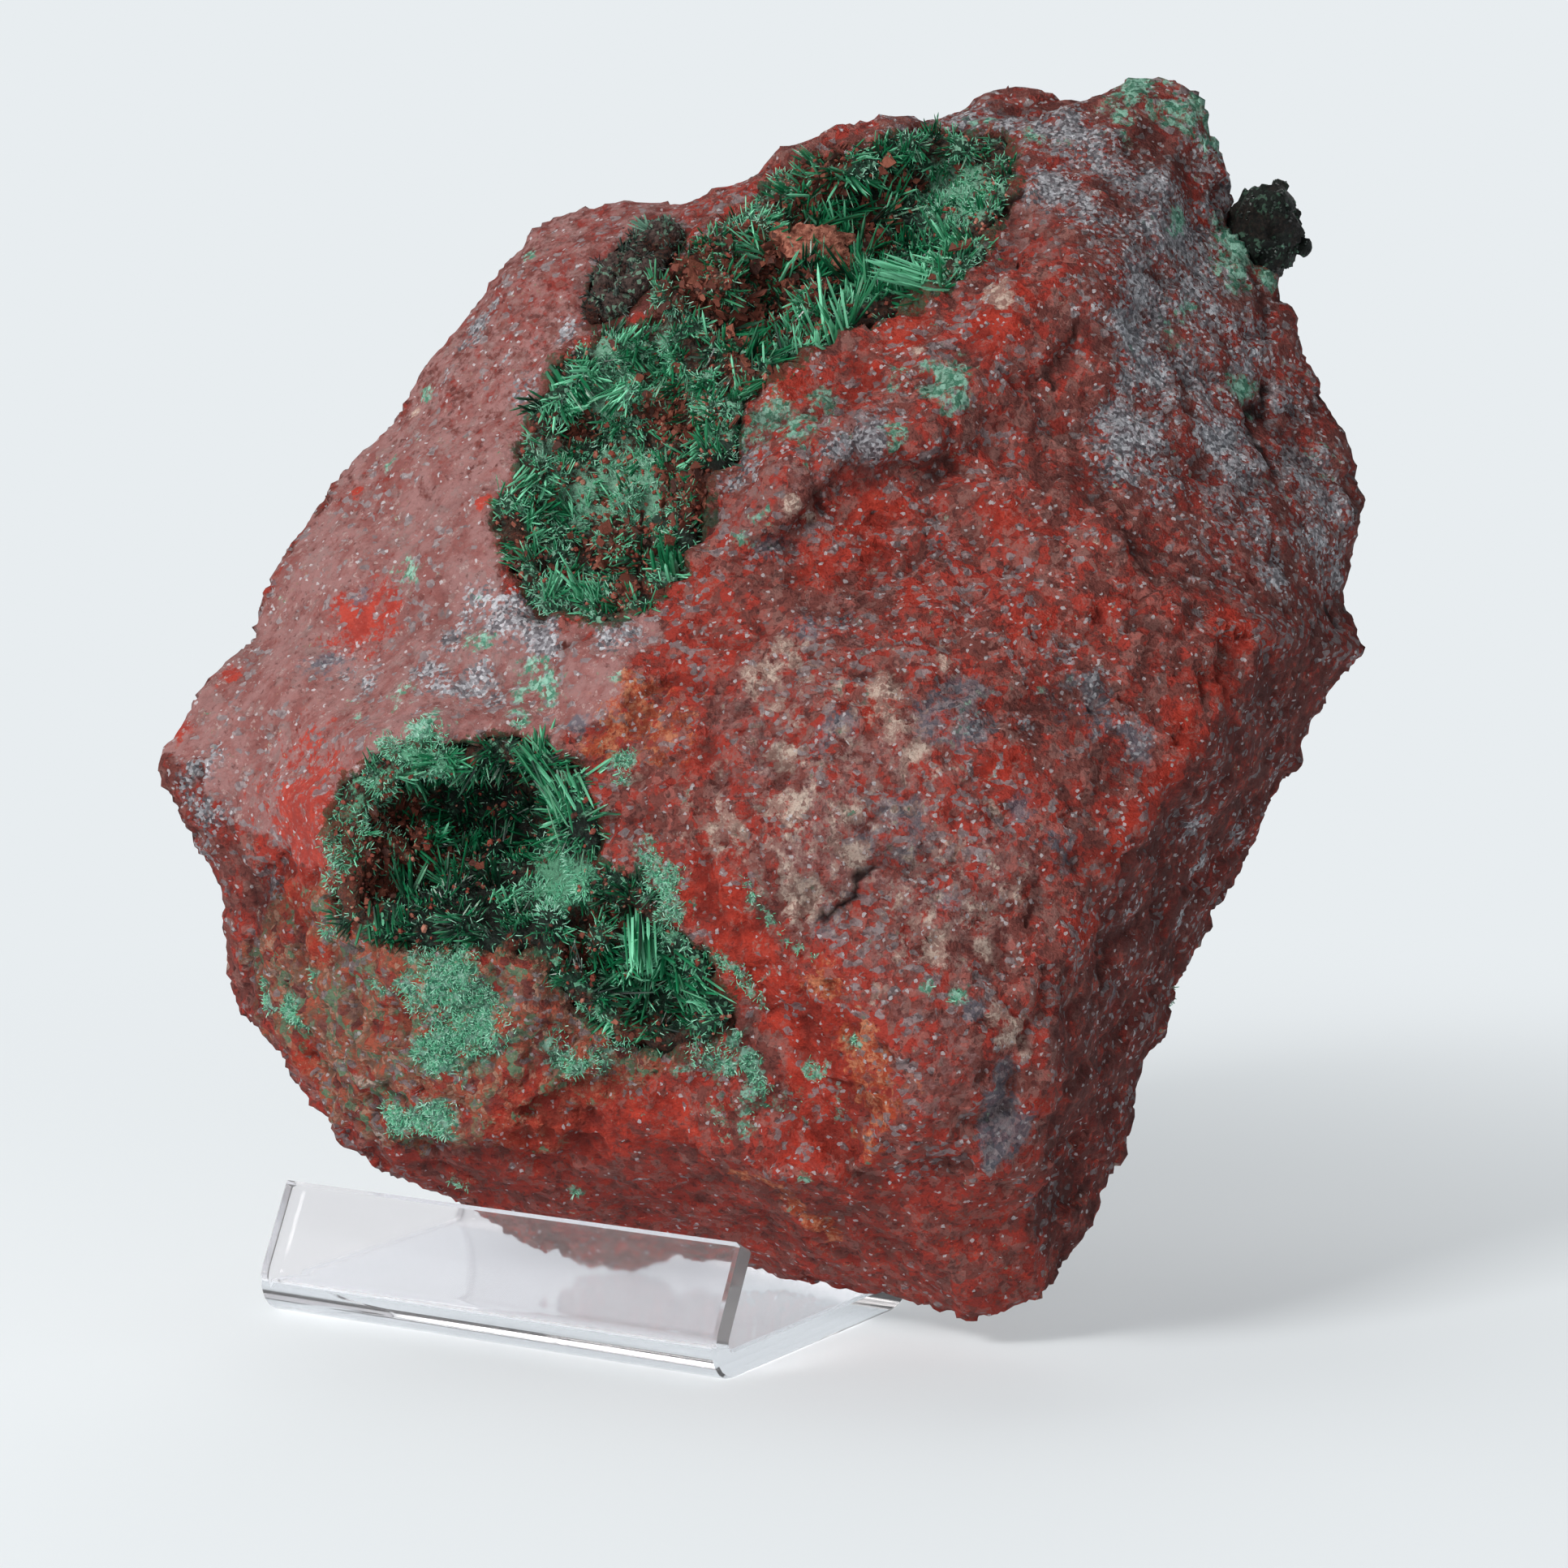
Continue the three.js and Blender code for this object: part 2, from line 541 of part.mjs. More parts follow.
// The specimen on its stand, moved so that the origin is the middle of its footprint's box.
const body = rockBody();
const holes = [upperHollow, lowerHollow, seamHollow].flat().map((each) => hollow(each, 0).solid);
const rock = body.subtract(wasm.Manifold.union([...holes, knobLump(gap), strip(gap)]));
const knob = knobCrystals().subtract(body.subtract(knobLump(gap)));

const specimen = new THREE.Group();
specimen.add(
  piece("matrix_rock", rock, rockRed),
  piece("upper_crystals", crust(upperHollow, body, [10, 8], 6), crystalGreen),
  piece("lower_crystals", crust(lowerHollow, body, [9, 6], 5.5), crystalGreen),
  piece("seam_crystals", crust(seamHollow, body, [3], 3), darkGreen),
  piece("edge_crystals", knob, darkGreen),
  piece("display_stand", strip(0), clearSheet),
);
const box = new THREE.Box3().setFromObject(specimen);
const middleOfBox = box.getCenter(new THREE.Vector3());
specimen.position.set(-middleOfBox.x, -middleOfBox.y, 0);

const assembly = new THREE.Group();
assembly.add(specimen);
export default assembly;
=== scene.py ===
# %% [markdown]
# # A brochantite specimen on a clear stand
# A fist-sized piece of red, iron-stained rock, with two hollows full of emerald needles, leans on a
# folded strip of clear acrylic. The solid model gives every size and place. This lesson dresses it: a
# finer skin for the rock, thousands of needles for the crystals, and a finish for each surface.

# %% Load the solid model
import math

import bpy
import numpy as np
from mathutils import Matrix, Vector, noise
from mathutils.bvhtree import BVHTree


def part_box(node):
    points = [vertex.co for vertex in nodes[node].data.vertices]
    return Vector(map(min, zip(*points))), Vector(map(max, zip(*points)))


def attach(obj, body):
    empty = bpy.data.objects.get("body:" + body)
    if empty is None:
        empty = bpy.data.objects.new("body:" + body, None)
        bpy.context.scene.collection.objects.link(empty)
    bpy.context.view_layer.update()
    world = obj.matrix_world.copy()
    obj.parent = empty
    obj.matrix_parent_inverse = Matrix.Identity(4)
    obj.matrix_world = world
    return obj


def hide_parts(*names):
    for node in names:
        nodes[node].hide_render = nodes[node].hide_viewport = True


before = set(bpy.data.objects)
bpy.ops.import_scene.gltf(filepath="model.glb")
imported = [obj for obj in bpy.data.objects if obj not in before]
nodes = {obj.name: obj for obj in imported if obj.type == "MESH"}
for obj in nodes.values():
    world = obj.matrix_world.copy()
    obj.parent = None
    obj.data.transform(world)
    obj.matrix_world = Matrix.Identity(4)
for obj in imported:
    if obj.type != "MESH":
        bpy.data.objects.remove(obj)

# Blender's vector noise takes its offsets from the clock unless it is given a seed.
SEED = 20
noise.seed_set(SEED)
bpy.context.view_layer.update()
print("solids:", sorted(nodes))

# %% [markdown]
# The camera comes first, because the marks on the rock are placed as they are seen from the front.
# It stands 350 mm away, turned about 31 degrees round the stand and looking down about 7 degrees, with a
# long lens, so that the specimen is hardly distorted. It looks at a point well right of the stand's
# middle, a little behind the stand's front and half way up the rock.

# %% The camera at the viewing angle
MM = 0.001
VIEW_DISTANCE = 350.0
VIEW_TURN = math.radians(30.9)
VIEW_DROP = math.radians(7.3)
TARGET_RIGHT = 24.65
TARGET_BACK = 7.4
TARGET_HEIGHT = 47.6
LENS = 101.4
stand_low, stand_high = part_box("display_stand")
target = np.array([
    (stand_low.x + stand_high.x) / 2 / MM + TARGET_RIGHT,
    stand_low.y / MM + TARGET_BACK,
    TARGET_HEIGHT,
])
ahead = np.array([
    -math.sin(VIEW_TURN) * math.cos(VIEW_DROP),
    math.cos(VIEW_TURN) * math.cos(VIEW_DROP),
    -math.sin(VIEW_DROP),
])
right = np.array([math.cos(VIEW_TURN), math.sin(VIEW_TURN), 0.0])
up = np.cross(right, ahead)
eye = target - VIEW_DISTANCE * ahead

camera_data = bpy.data.cameras.new("camera")
camera_data.lens = LENS
camera_data.sensor_width = 36.0
camera_data.clip_start = 0.01
camera = bpy.data.objects.new("camera", camera_data)
bpy.context.scene.collection.objects.link(camera)
camera.location = Vector(eye) * MM
camera.rotation_euler = Vector(ahead).to_track_quat("-Z", "Y").to_euler()
bpy.context.scene.camera = camera
print("camera at", [round(x, 1) for x in eye], "mm")

# %% [markdown]
# Points are noted here as h and v: millimetres to the right of and above the picture's middle, on a
# plane through the specimen. `sight` turns places in space into h, v and depth, for whole arrays at
# once. It lets a mark be put where it is seen and then spread over the rock in three dimensions.

# %% From places in space to the front view
def sight(places):
    """The h and v of places in millimetres, and how far ahead of the camera they are."""
    offsets = places - eye
    depth = offsets @ ahead
    return offsets @ right * VIEW_DISTANCE / depth, offsets @ up * VIEW_DISTANCE / depth, depth


def inside(outline, h, v):
    """Which points lie inside a closed outline of the front view."""
    found = np.zeros(len(h), bool)
    for (h1, v1), (h2, v2) in zip(outline, outline[1:] + outline[:1]):
        crosses = (v1 > v) != (v2 > v)
        found ^= crosses & (h < (h2 - h1) * (v - v1) / (v2 - v1 + 1e-9) + h1)
    return found


# %% [markdown]
# A finish is a small program of nodes. Writing it node by node is slow, so `Value` wraps one socket and
# gives it plus, minus and times, and `Finish.node` makes any other node from its settings and the values
# of its sockets. The methods after it are the few steps that every finish here is made of.

# %% Shader maths as Python
def srgb(red, green, blue):
    """A colour noted as 0 to 255 on a screen, as the light values that a shader takes."""
    shares = [c / 255 for c in (red, green, blue)]
    return tuple(c / 12.92 if c < 0.04045 else ((c + 0.055) / 1.055) ** 2.4 for c in shares) + (1.0,)


class Value:
    """One output socket of a finish, or what a sum of such sockets comes to."""

    def __init__(self, finish, socket):
        self.finish = finish
        self.socket = socket

    def math(self, operation, first, second):
        return self.finish.node("Math", {"operation": operation}, {0: first, 1: second})

    def __add__(self, other):
        return self.math("ADD", self, other)

    __radd__ = __add__

    def __sub__(self, other):
        return self.math("SUBTRACT", self, other)

    def __rsub__(self, other):
        return self.math("SUBTRACT", other, self)

    def __mul__(self, other):
        return self.math("MULTIPLY", self, other)

    __rmul__ = __mul__


class Finish:
    """A material whose nodes are written as expressions."""

    def __init__(self, name):
        self.material = bpy.data.materials.new(name)
        self.material.use_nodes = True
        self.tree = self.material.node_tree
        self.tree.nodes.clear()

    def node(self, kind, settings, values, output=0):
        made = self.tree.nodes.new("ShaderNode" + kind)
        for key, value in settings.items():
            setattr(made, key, value)
        for key, value in values.items():
            if isinstance(value, Value):
                self.tree.links.new(value.socket, made.inputs[key])
            else:
                made.inputs[key].default_value = value
        return Value(self, made.outputs[output]) if made.outputs else None

    def place(self):
        return self.node("TexCoord", {}, {}, "Object")

    def attribute(self, name):
        return self.node("Attribute", {"attribute_name": name}, {}, "Fac")

    def noise(self, size, detail=2.0, rough=0.5, vector=None):
        """Soft noise from 0 to 1 whose lumps are about size millimetres."""
        return self.node("TexNoise", {}, {
            "Vector": vector or self.place(), "Scale": 1 / (size * MM), "Detail": detail,
            "Roughness": rough,
        })

    def mix(self, share, under, over):
        return self.node("Mix", {"data_type": "RGBA"}, {0: share, 6: under, 7: over}, 2)

    def step(self, value, low, high):
        """0 below low, 1 above high and smooth between them."""
        return self.node("MapRange", {"interpolation_type": "SMOOTHSTEP"}, {
            "Value": value, "From Min": low, "From Max": high,
        })

    def lay(self, colour, value, low, high, most, top):
        """The top colour laid over another where a value climbs from low to high, at most that much."""
        return self.mix(self.step(value, low, high) * most, colour, top)

    def vector(self, operation, first, second, output=0):
        return self.node("VectorMath", {"operation": operation}, {0: first, 1: second}, output)

    def warped(self, size, reach):
        """The place, shifted by about reach millimetres in lumps of that size."""
        shift = self.node("TexNoise", {}, {
            "Vector": self.place(), "Scale": 1 / (size * MM), "Detail": 3.0,
        }, 1)
        shift = self.vector("SUBTRACT", shift, (0.5, 0.5, 0.5))
        return self.vector("ADD", self.place(), self.vector("MULTIPLY", shift, (4 * reach * MM,) * 3))

    def facets(self, size, vector=None):
        """Facets about size millimetres wide: their height in millimetres and two random numbers."""
        place = vector or self.place()
        cells = self.node("TexVoronoi", {}, {"Vector": place, "Scale": 1 / (size * MM)})
        node = cells.socket.node
        colour = Value(self, node.outputs["Color"])
        offset = self.vector("SUBTRACT", place, Value(self, node.outputs["Position"]))
        slant = self.vector("SUBTRACT", colour, (0.5, 0.5, 0.5))
        height = self.vector("DOT_PRODUCT", offset, slant, "Value")
        parts = self.node("SeparateColor", {}, {0: colour}, 0)
        other = Value(self, parts.socket.node.outputs[1])
        return height * (1 / MM), parts, other

    def bump(self, height):
        """A bump for a height in millimetres."""
        return self.node("Bump", {}, {"Height": height, "Distance": MM, "Strength": 1.0})

    def surface(self, values):
        shader = self.node("BsdfPrincipled", {}, values)
        self.node("OutputMaterial", {}, {"Surface": shader})
        return self.material


# %% [markdown]
# The floor is a wide shallow bowl, as a studio sweep is: flat under the specimen, then curving up behind
# it on every side, so that no horizon shows from any angle. Its flat part is matt, and its far part glows
# by itself with the tone of an evenly lit backdrop.

# %% The floor and the backdrop
PALE = srgb(232, 237, 240)


def deselect():
    if bpy.context.object and bpy.context.object.mode == "EDIT":
        bpy.ops.object.mode_set(mode="OBJECT")
    bpy.ops.object.select_all(action="DESELECT")


def start_from(primitive, name, **sizes):
    """Adds a primitive on its own and names it."""
    deselect()
    primitive(**sizes)
    piece = bpy.context.object
    piece.name = name
    piece.data.name = name
    return piece


def bowl(name, inner, rings):
    """A disc or a ring round the origin, drawn outwards and up through rings of radius and height."""
    fill = "NGON" if inner == 0 else "NOTHING"
    first = rings[0]
    piece = start_from(bpy.ops.mesh.primitive_circle_add, name, vertices=96, radius=first[0],
                       fill_type=fill, location=(0, 0, first[1]))
    bpy.ops.object.mode_set(mode="EDIT")
    bpy.ops.mesh.select_all(action="SELECT")
    if inner == 0:
        bpy.ops.mesh.region_to_loop()
    for (radius, height), (wider, higher) in zip(rings, rings[1:]):
        bpy.ops.mesh.extrude_edges_move(TRANSFORM_OT_translate={"value": (0, 0, higher - height)})
        bpy.ops.transform.resize(value=(wider / radius, wider / radius, 1))
    bpy.ops.object.mode_set(mode="OBJECT")
    bpy.ops.object.shade_smooth()
    bpy.ops.object.transform_apply(location=True, rotation=True, scale=True)
    return piece


FLOOR_RADIUS = 0.34
floor = bowl("floor", 0, [(FLOOR_RADIUS, 0)])
backdrop = bowl("backdrop", FLOOR_RADIUS, [
    (FLOOR_RADIUS, 0), (0.6, 0), (0.7, 0.012), (0.78, 0.05), (0.84, 0.11), (0.88, 0.2), (0.9, 0.45),
])
paper = Finish("pale_paper")
distance = paper.node("VectorMath", {"operation": "LENGTH"}, {0: paper.place()}, "Value")
far = paper.step(distance, 0.04, 0.2) * 0.62 + 0.38
matt = paper.node("BsdfDiffuse", {}, {"Color": srgb(236, 242, 246)})
glow = paper.node("Emission", {}, {"Color": PALE, "Strength": 1.0})
paper.node("OutputMaterial", {}, {"Surface": paper.node("MixShader", {}, {0: far, 1: matt, 2: glow})})
for sweep in (floor, backdrop):
    sweep.data.materials.append(paper.material)
backdrop.visible_diffuse = False

# %% [markdown]
# Four large soft lights: the main one on the left, a weaker one above and behind, which gives the short
# soft shadow in front, a broad one below the camera that opens the shadows, and one behind for the far
# side. A dim, even sky keeps the hollows from going black.

# %% The lights
LIT_POINT = Vector((0, 0, 0.05))


def soft_light(name, turn, rise, reach, width, power):
    """A square light, turn degrees right of the camera's direction and rise degrees above the floor."""
    data = bpy.data.lights.new(name, "AREA")
    data.shape = "SQUARE"
    data.size = width
    data.energy = power
    data.color = srgb(255, 253, 250)[:3]
    lamp = bpy.data.objects.new(name, data)
    bpy.context.scene.collection.objects.link(lamp)
    angle = VIEW_TURN + math.radians(turn)
    rise = math.radians(rise)
    way = Vector((math.sin(angle) * math.cos(rise), -math.cos(angle) * math.cos(rise), math.sin(rise)))
    lamp.location = LIT_POINT + way * reach
    lamp.rotation_euler = (-way).to_track_quat("-Z", "Y").to_euler()
    lamp.visible_camera = False
    return lamp


soft_light("main_light", -43, 33, 0.75, 0.2, 4.8)
soft_light("top_light", -150, 66, 0.8, 0.5, 1.4)
soft_light("front_light", -10, -4, 0.8, 0.4, 6.6)
soft_light("back_light", 172, 18, 0.9, 0.5, 3.4)
sky = bpy.data.worlds.new("sky")
sky.use_nodes = True
sky_glow = sky.node_tree.nodes["Background"]
sky_glow.inputs["Color"].default_value = srgb(240, 243, 248)
sky_glow.inputs["Strength"].default_value = 0.2
bpy.context.scene.world = sky
bpy.context.scene.view_settings.view_transform = "Standard"

# %% [markdown]
# The rock needs a finer skin than the solid has: the real one is broken into chips and crumbs at every
# scale. A copy of the solid is merged and remeshed to even faces of six tenths of a millimetre, softened
# a little, and then every point is moved in or out along its normal by noise.

# %% Copies with an even skin
def copy_of(node, name):
    """A merged copy of a solid, as a new piece. The solid itself stays as it is."""
    deselect()
    piece = bpy.data.objects.new(name, nodes[node].data.copy())
    piece.data.name = name
    piece.data.materials.clear()
    bpy.context.scene.collection.objects.link(piece)
    piece.select_set(True)
    bpy.context.view_layer.objects.active = piece
    bpy.ops.object.mode_set(mode="EDIT")
    bpy.ops.mesh.select_all(action="SELECT")
    bpy.ops.mesh.remove_doubles(threshold=1e-6)
    bpy.ops.object.mode_set(mode="OBJECT")
    if piece.data.has_custom_normals:
        bpy.ops.mesh.customdata_custom_splitnormals_clear()
    return piece


def even_skin(piece, face, rounds):
    """Remeshes a closed piece to faces of that many millimetres and softens it."""
    remesh = piece.modifiers.new("even faces", "REMESH")
    remesh.mode = "VOXEL"
    remesh.voxel_size = face * MM
    bpy.ops.object.modifier_apply(modifier=remesh.name)
    soften = piece.modifiers.new("soften", "SMOOTH")
    soften.factor = 0.5
    soften.iterations = rounds
    bpy.ops.object.modifier_apply(modifier=soften.name)
    print(piece.name, "has", len(piece.data.polygons), "faces")
    return piece


def read_skin(piece):
    """The places in millimetres and the normals of a piece's points."""
    count = len(piece.data.vertices)
    places = np.empty(count * 3)
    normals = np.empty(count * 3)
    piece.data.vertices.foreach_get("co", places)
    piece.data.vertex_normals.foreach_get("vector", normals)
    return places.reshape(-1, 3) / MM, normals.reshape(-1, 3)


def move_skin(piece, places):
    piece.data.vertices.foreach_set("co", (places * MM).ravel())
    piece.data.update()


def note(piece, name, values):
    """Keeps one number for each point under a name that a finish can read."""
    made = piece.data.attributes.new(name, "FLOAT", "POINT")
    made.data.foreach_set("value", np.asarray(values, np.float32))


def chip_height(place, size):
    """How high a chipped surface stands: each chip is a flat facet with its own slant."""
    nearest = noise.voronoi(place / size)[1][0]
    slant = noise.cell_vector(nearest * 57.3) - Vector((0.5, 0.5, 0.5))
    return (place - nearest * size).dot(slant)


def each(places, measure):
    """Runs a measure of one place over all of them."""
    return np.array([measure(Vector(p)) for p in places])


ROCK_FACE = 0.61
rock = even_skin(copy_of("matrix_rock", "rock"), ROCK_FACE, 3)
places, normals = read_skin(rock)

# %% [markdown]
# The skin differs from face to face. The big sloping face on the left is a smooth, streaked slab, the
# lower left is crumbly crust, and the rest is rough broken stone. Outlines in the front view say which
# is which, and a slow wandering noise keeps their borders from running straight.

# %% Which part of the rock is which
h, v, depth = sight(places)
facing = ((eye - places) * normals).sum(1) > 0
wander = each(places, lambda p: noise.noise_vector(p / 3.0) * 1.5 + noise.noise_vector(p / 0.9) * 0.6)
wander_h = h + wander @ right
wander_v = v + wander @ up
SLAB = [
    (-51, 2), (-46, 9), (-42, 14), (-38, 21), (-30, 31), (-24, 41), (-19, 46), (-12, 48), (-7, 46),
    (-9, 43), (-14, 37), (-18, 33), (-20, 27), (-23, 21), (-22, 16), (-17, 11.5), (-10, 13), (-13, 6),
    (-20, 3), (-26, 4), (-31, 2), (-34, -1), (-36, -6), (-40, -6), (-44, -3), (-47, 2),
]
CRUST = [
    (-41, -8), (-36, -8), (-30, -12), (-20, -12), (-15, -13), (-13, -18), (-9, -21), (-9.5, -23.5),
    (-14.5, -25.5), (-18, -29), (-25, -29), (-33, -29), (-40, -20), (-43, -16),
]
LEFT_END = [(-51, 2), (-47, 3), (-44, -3), (-42, -8), (-42, -12), (-45, -8), (-50, -2)]
RIGHT_SLOPE = [
    (24, 45), (22, 40), (24, 30), (27, 24), (32, 19), (37, 13), (41, 9), (47, 11), (47, 25), (42, 38),
    (39, 45), (36, 50), (34, 56), (28, 57), (20, 56), (5, 53), (18, 50), (21, 46),
]
SHADED_SIDE = [
    (38, 11), (48, 11), (42, 3), (36, -9), (31, -20), (27, -31), (22, -45), (20, -36), (21, -28),
    (22, -18), (26, -8), (30, -1), (35, 5),
]
UNDERSIDE = [
    (20, -36), (22, -45), (15, -45), (0, -41), (-10, -39), (-24, -34), (-32, -30), (-25, -29.5),
    (-18, -30), (-14.5, -26.5), (-9.5, -25), (-5, -28), (0, -31.5), (5, -31), (12, -31), (17, -32),
]
slab = facing & inside(SLAB, wander_h, wander_v)
crust = facing & inside(CRUST, wander_h, wander_v)
left_end = facing & inside(LEFT_END, wander_h, wander_v)
right_slope = facing & inside(RIGHT_SLOPE, wander_h, wander_v)
shaded_side = facing & inside(SHADED_SIDE, wander_h, wander_v)
underside = facing & inside(UNDERSIDE, wander_h, wander_v)
print("points on the slab:", int(slab.sum()), "crust:", int(crust.sum()))

# %% [markdown]
# Broken stone has chips of every size. So flat facets of three sizes are added up, the largest first, then
# grit, then lumps on the crust and round the hollows. How strong they are differs from face to face. On
# the far side the chips only cut in, and along the seam the rock stays below the crystals.

# %% Chips, crumbs and lumps
def nearness(node):
    """1 where the rock touches the crystals of a node, falling to 0 within 2.4 mm of them."""
    tree = BVHTree.FromPolygons([tuple(c.co) for c in nodes[node].data.vertices],
                                [tuple(f.vertices) for f in nodes[node].data.polygons])
    reach = np.array([tree.find_nearest(Vector(p) * MM)[3] / MM for p in places])
    return np.clip(1.0 - (reach - 0.4) / 2.4, 0.0, 1.0)


CHIPS = {6.5: (0.26, Vector((0, 0, 0))), 3.1: (0.34, Vector((3, 1, 7))), 1.5: (0.36, Vector((7, 3, 1)))}
rough = np.select([slab, crust, right_slope, underside, shaded_side], [0.22, 1.15, 0.7, 0.5, 0.8], 1.0)
near_seam = nearness("seam_crystals")
near_crystals = np.maximum(nearness("upper_crystals"), nearness("lower_crystals"))
lift = np.where(facing, 0.0, -0.12) * np.abs(each(places, lambda p: chip_height(p, 14.0)))
for size, (deep, shift) in CHIPS.items():
    lift += rough * deep * each(places, lambda p: chip_height(p + shift, size))
lift += (0.05 + 0.13 * rough) * each(places, lambda p: noise.fractal(p / 0.8, 1.0, 2.0, 3))
lift += np.where(crust, 0.5, 0.08) * each(places, lambda p: noise.noise(p / 1.1) + noise.noise(p / 2.3))
lift += near_crystals * each(
    places, lambda p: 0.25 + noise.noise(p / 3.4) * 1.3 + noise.noise(p / 1.4) * 0.9)
torn_seam = near_seam + 0.4 * each(places, lambda p: noise.noise(p / 1.3))
lift = np.where(torn_seam > 0.6, np.minimum(lift, -0.3), lift)
near_crystals = np.maximum(near_crystals, near_seam)
move_skin(rock, places + normals * lift[:, None])
places, normals = read_skin(rock)
h, v, depth = sight(places)

# %% [markdown]
# The marks of colour are noted as spots: where each is seen, its radius in millimetres and its strength.
# The point of the rock seen there becomes the middle of a ball, and the points inside the ball take the
# mark. In this way a spot wraps over the relief and doesn't print through to the far side.

# %% Spots of colour on the rock
def seen_point(spot_h, spot_v, skin, h_at, v_at, depth_at):
    """The place on a skin that is seen at h and v, or nothing where only the backdrop is seen."""
    off = np.hypot(h_at - spot_h, v_at - spot_v)
    near = off < 1.5
    if not near.any():
        return None
    front = near & (depth_at < depth_at[near].min() + 2.5)
    return skin[front][np.argmin(off[front])]


def spots(seen):
    """How strongly each point of the rock has a mark, for spots of h, v, radius and strength."""
    found = np.zeros(len(places))
    front_skin = places[facing], h[facing], v[facing], depth[facing]
    for spot_h, spot_v, radius, strength in seen:
        centre = seen_point(spot_h, spot_v, *front_skin)
        if centre is None:
            print("no rock is seen at", spot_h, spot_v)
            continue
        loose = min(1.1, 0.5 * radius)
        away = np.linalg.norm(places + loose * wander - centre, axis=1) / radius
        found = np.maximum(found, strength * np.clip(1.3 - 0.65 * away, 0.0, 1.0))
    return found


def line(path, radius, strength, spacing=0.4):
    """Spots along a line through points of the front view, spacing millimetres apart."""
    made = []
    for (h1, v1), (h2, v2) in zip(path, path[1:]):
        steps = max(1, int(math.hypot(h2 - h1, v2 - v1) / spacing))
        made += [(h1 + (h2 - h1) * i / steps, v1 + (v2 - v1) * i / steps, radius, strength)
                 for i in range(steps + 1)]
    return made


BRIGHT = [
    (-33.5, 13, 2.6, 1), (-31.5, 14.3, 1.4, 1), (-34, 23, 0.8, 0.8), (-23.8, 22.5, 0.8, 0.9),
    (-37.5, -3, 4, 0.9), (-38, 1.5, 3.2, 0.6), (-39, -8, 3, 0.9), (-37, -13, 1.2, 0.9), (-6, -8.5, 2.6, 1),
    (-4, -12, 2.6, 0.9), (-1, -18, 1.8, 0.7), (3, -19, 3, 1), (2.5, -15, 2, 0.8), (5, -23, 3, 0.9),
    (2, -28, 2.6, 0.8), (5, -28, 2.6, 0.8), (-18, -26, 3.2, 1), (-14, -26, 3, 0.8), (-21.5, -28, 2.4, 0.9),
    (-15, -23.5, 1.8, 0.6), (-12, -27, 2.8, 0.6), (-6.5, 2, 2.4, 0.7), (-9, 9, 2.4, 0.6),
    (-5, 11, 2.6, 0.6), (0.5, 31.5, 2, 1), (-2, 33, 1.4, 1), (6.3, 31.8, 1.6, 1), (9, 35.6, 1.8, 1),
    (16.5, 36.5, 2, 1), (18.5, 38.6, 1.8, 0.8), (7, 21.5, 2.4, 0.9), (17.5, 21.5, 2, 0.8),
    (3.5, 17.5, 2.2, 0.7), (6.5, 18, 1.4, 0.8), (10, 15, 1.6, 0.7), (20, 13, 2, 0.6), (25, 13, 2, 0.6),
    (36, 12, 2, 0.9), (34.5, 8, 1.8, 0.8), (32, 4, 1.8, 0.8), (30, 0.3, 1.6, 0.9), (28, -3, 1.6, 0.9),
    (26, -6, 1.6, 0.9), (23.5, -12, 1.4, 0.8), (7, 6, 1.4, 0.9), (17.5, 1, 2, 0.8), (12, -1, 1.8, 0.6),
    (14, 2.5, 1.2, 0.7), (-8, 16, 1.6, 0.8), (-6, 15, 1.4, 0.7), (-31, -19, 1.4, 0.7),
    (-27.5, -18, 1.3, 1), (-38, -22, 1.6, 0.8), (-28, -24, 1.8, 0.5), (20, -26, 1.2, 0.7),
    (19.5, -29, 1.2, 0.7), (33, 45.7, 1, 0.6), (-49, 5, 1.2, 0.8), (-44, 8.5, 1, 0.8),
    (-38.5, -3, 5, 0.85), (-37, 2, 3, 0.6), (-17, -27.5, 4, 0.9), (-9, -27.5, 4, 0.7),
] + line([(-6, -8), (-2, -14), (2, -20), (4, -28)], 2.6, 1.0, 2.0)
ORANGE = [
    (-12, 5, 2.6, 0.8), (-9.5, 4, 2.4, 0.7), (-14, 3.6, 1.8, 0.7), (3.2, -15.5, 1.4, 0.9),
    (6.5, -21.5, 2.4, 0.8), (7.5, -25, 2.4, 0.7), (6.5, -28, 1.4, 0.6), (-17, 30, 1, 0.5),
    (-3.5, -31.5, 0.8, 0.7),
] + line([(-4, -31), (-1, -32.5), (2, -34.5), (4, -36)], 0.8, 0.8)
DUSTY = [
    (6, 26.5, 2.6, 0.7), (3, 25, 2.4, 0.5), (0, 24, 2.4, 0.5), (-3, 22, 2.4, 0.6), (12, -12, 3, 0.5),
    (13, -17, 3.6, 0.5), (14, -22, 3.6, 0.45), (11, -25, 3.2, 0.45), (15, -8, 3.4, 0.5), (5, -3, 5, 0.5),
    (-2, 8, 3.4, 0.5), (2, -8, 3.6, 0.6), (9, 3, 3, 0.5), (17, -6, 3.2, 0.5), (20, -18, 2.4, 0.4),
    (19, 43, 1.8, 0.6), (20, 46, 2.2, 0.6), (21.5, 42.5, 1.8, 0.5), (9, 29, 1.8, 0.4), (0, 8, 4, 0.6),
    (-2, 2, 5, 0.6), (3, -5, 6, 0.7), (9, 1, 6, 0.6), (12, -8, 6, 0.55), (5, 12, 4, 0.4), (9, -15, 5, 0.5),
]
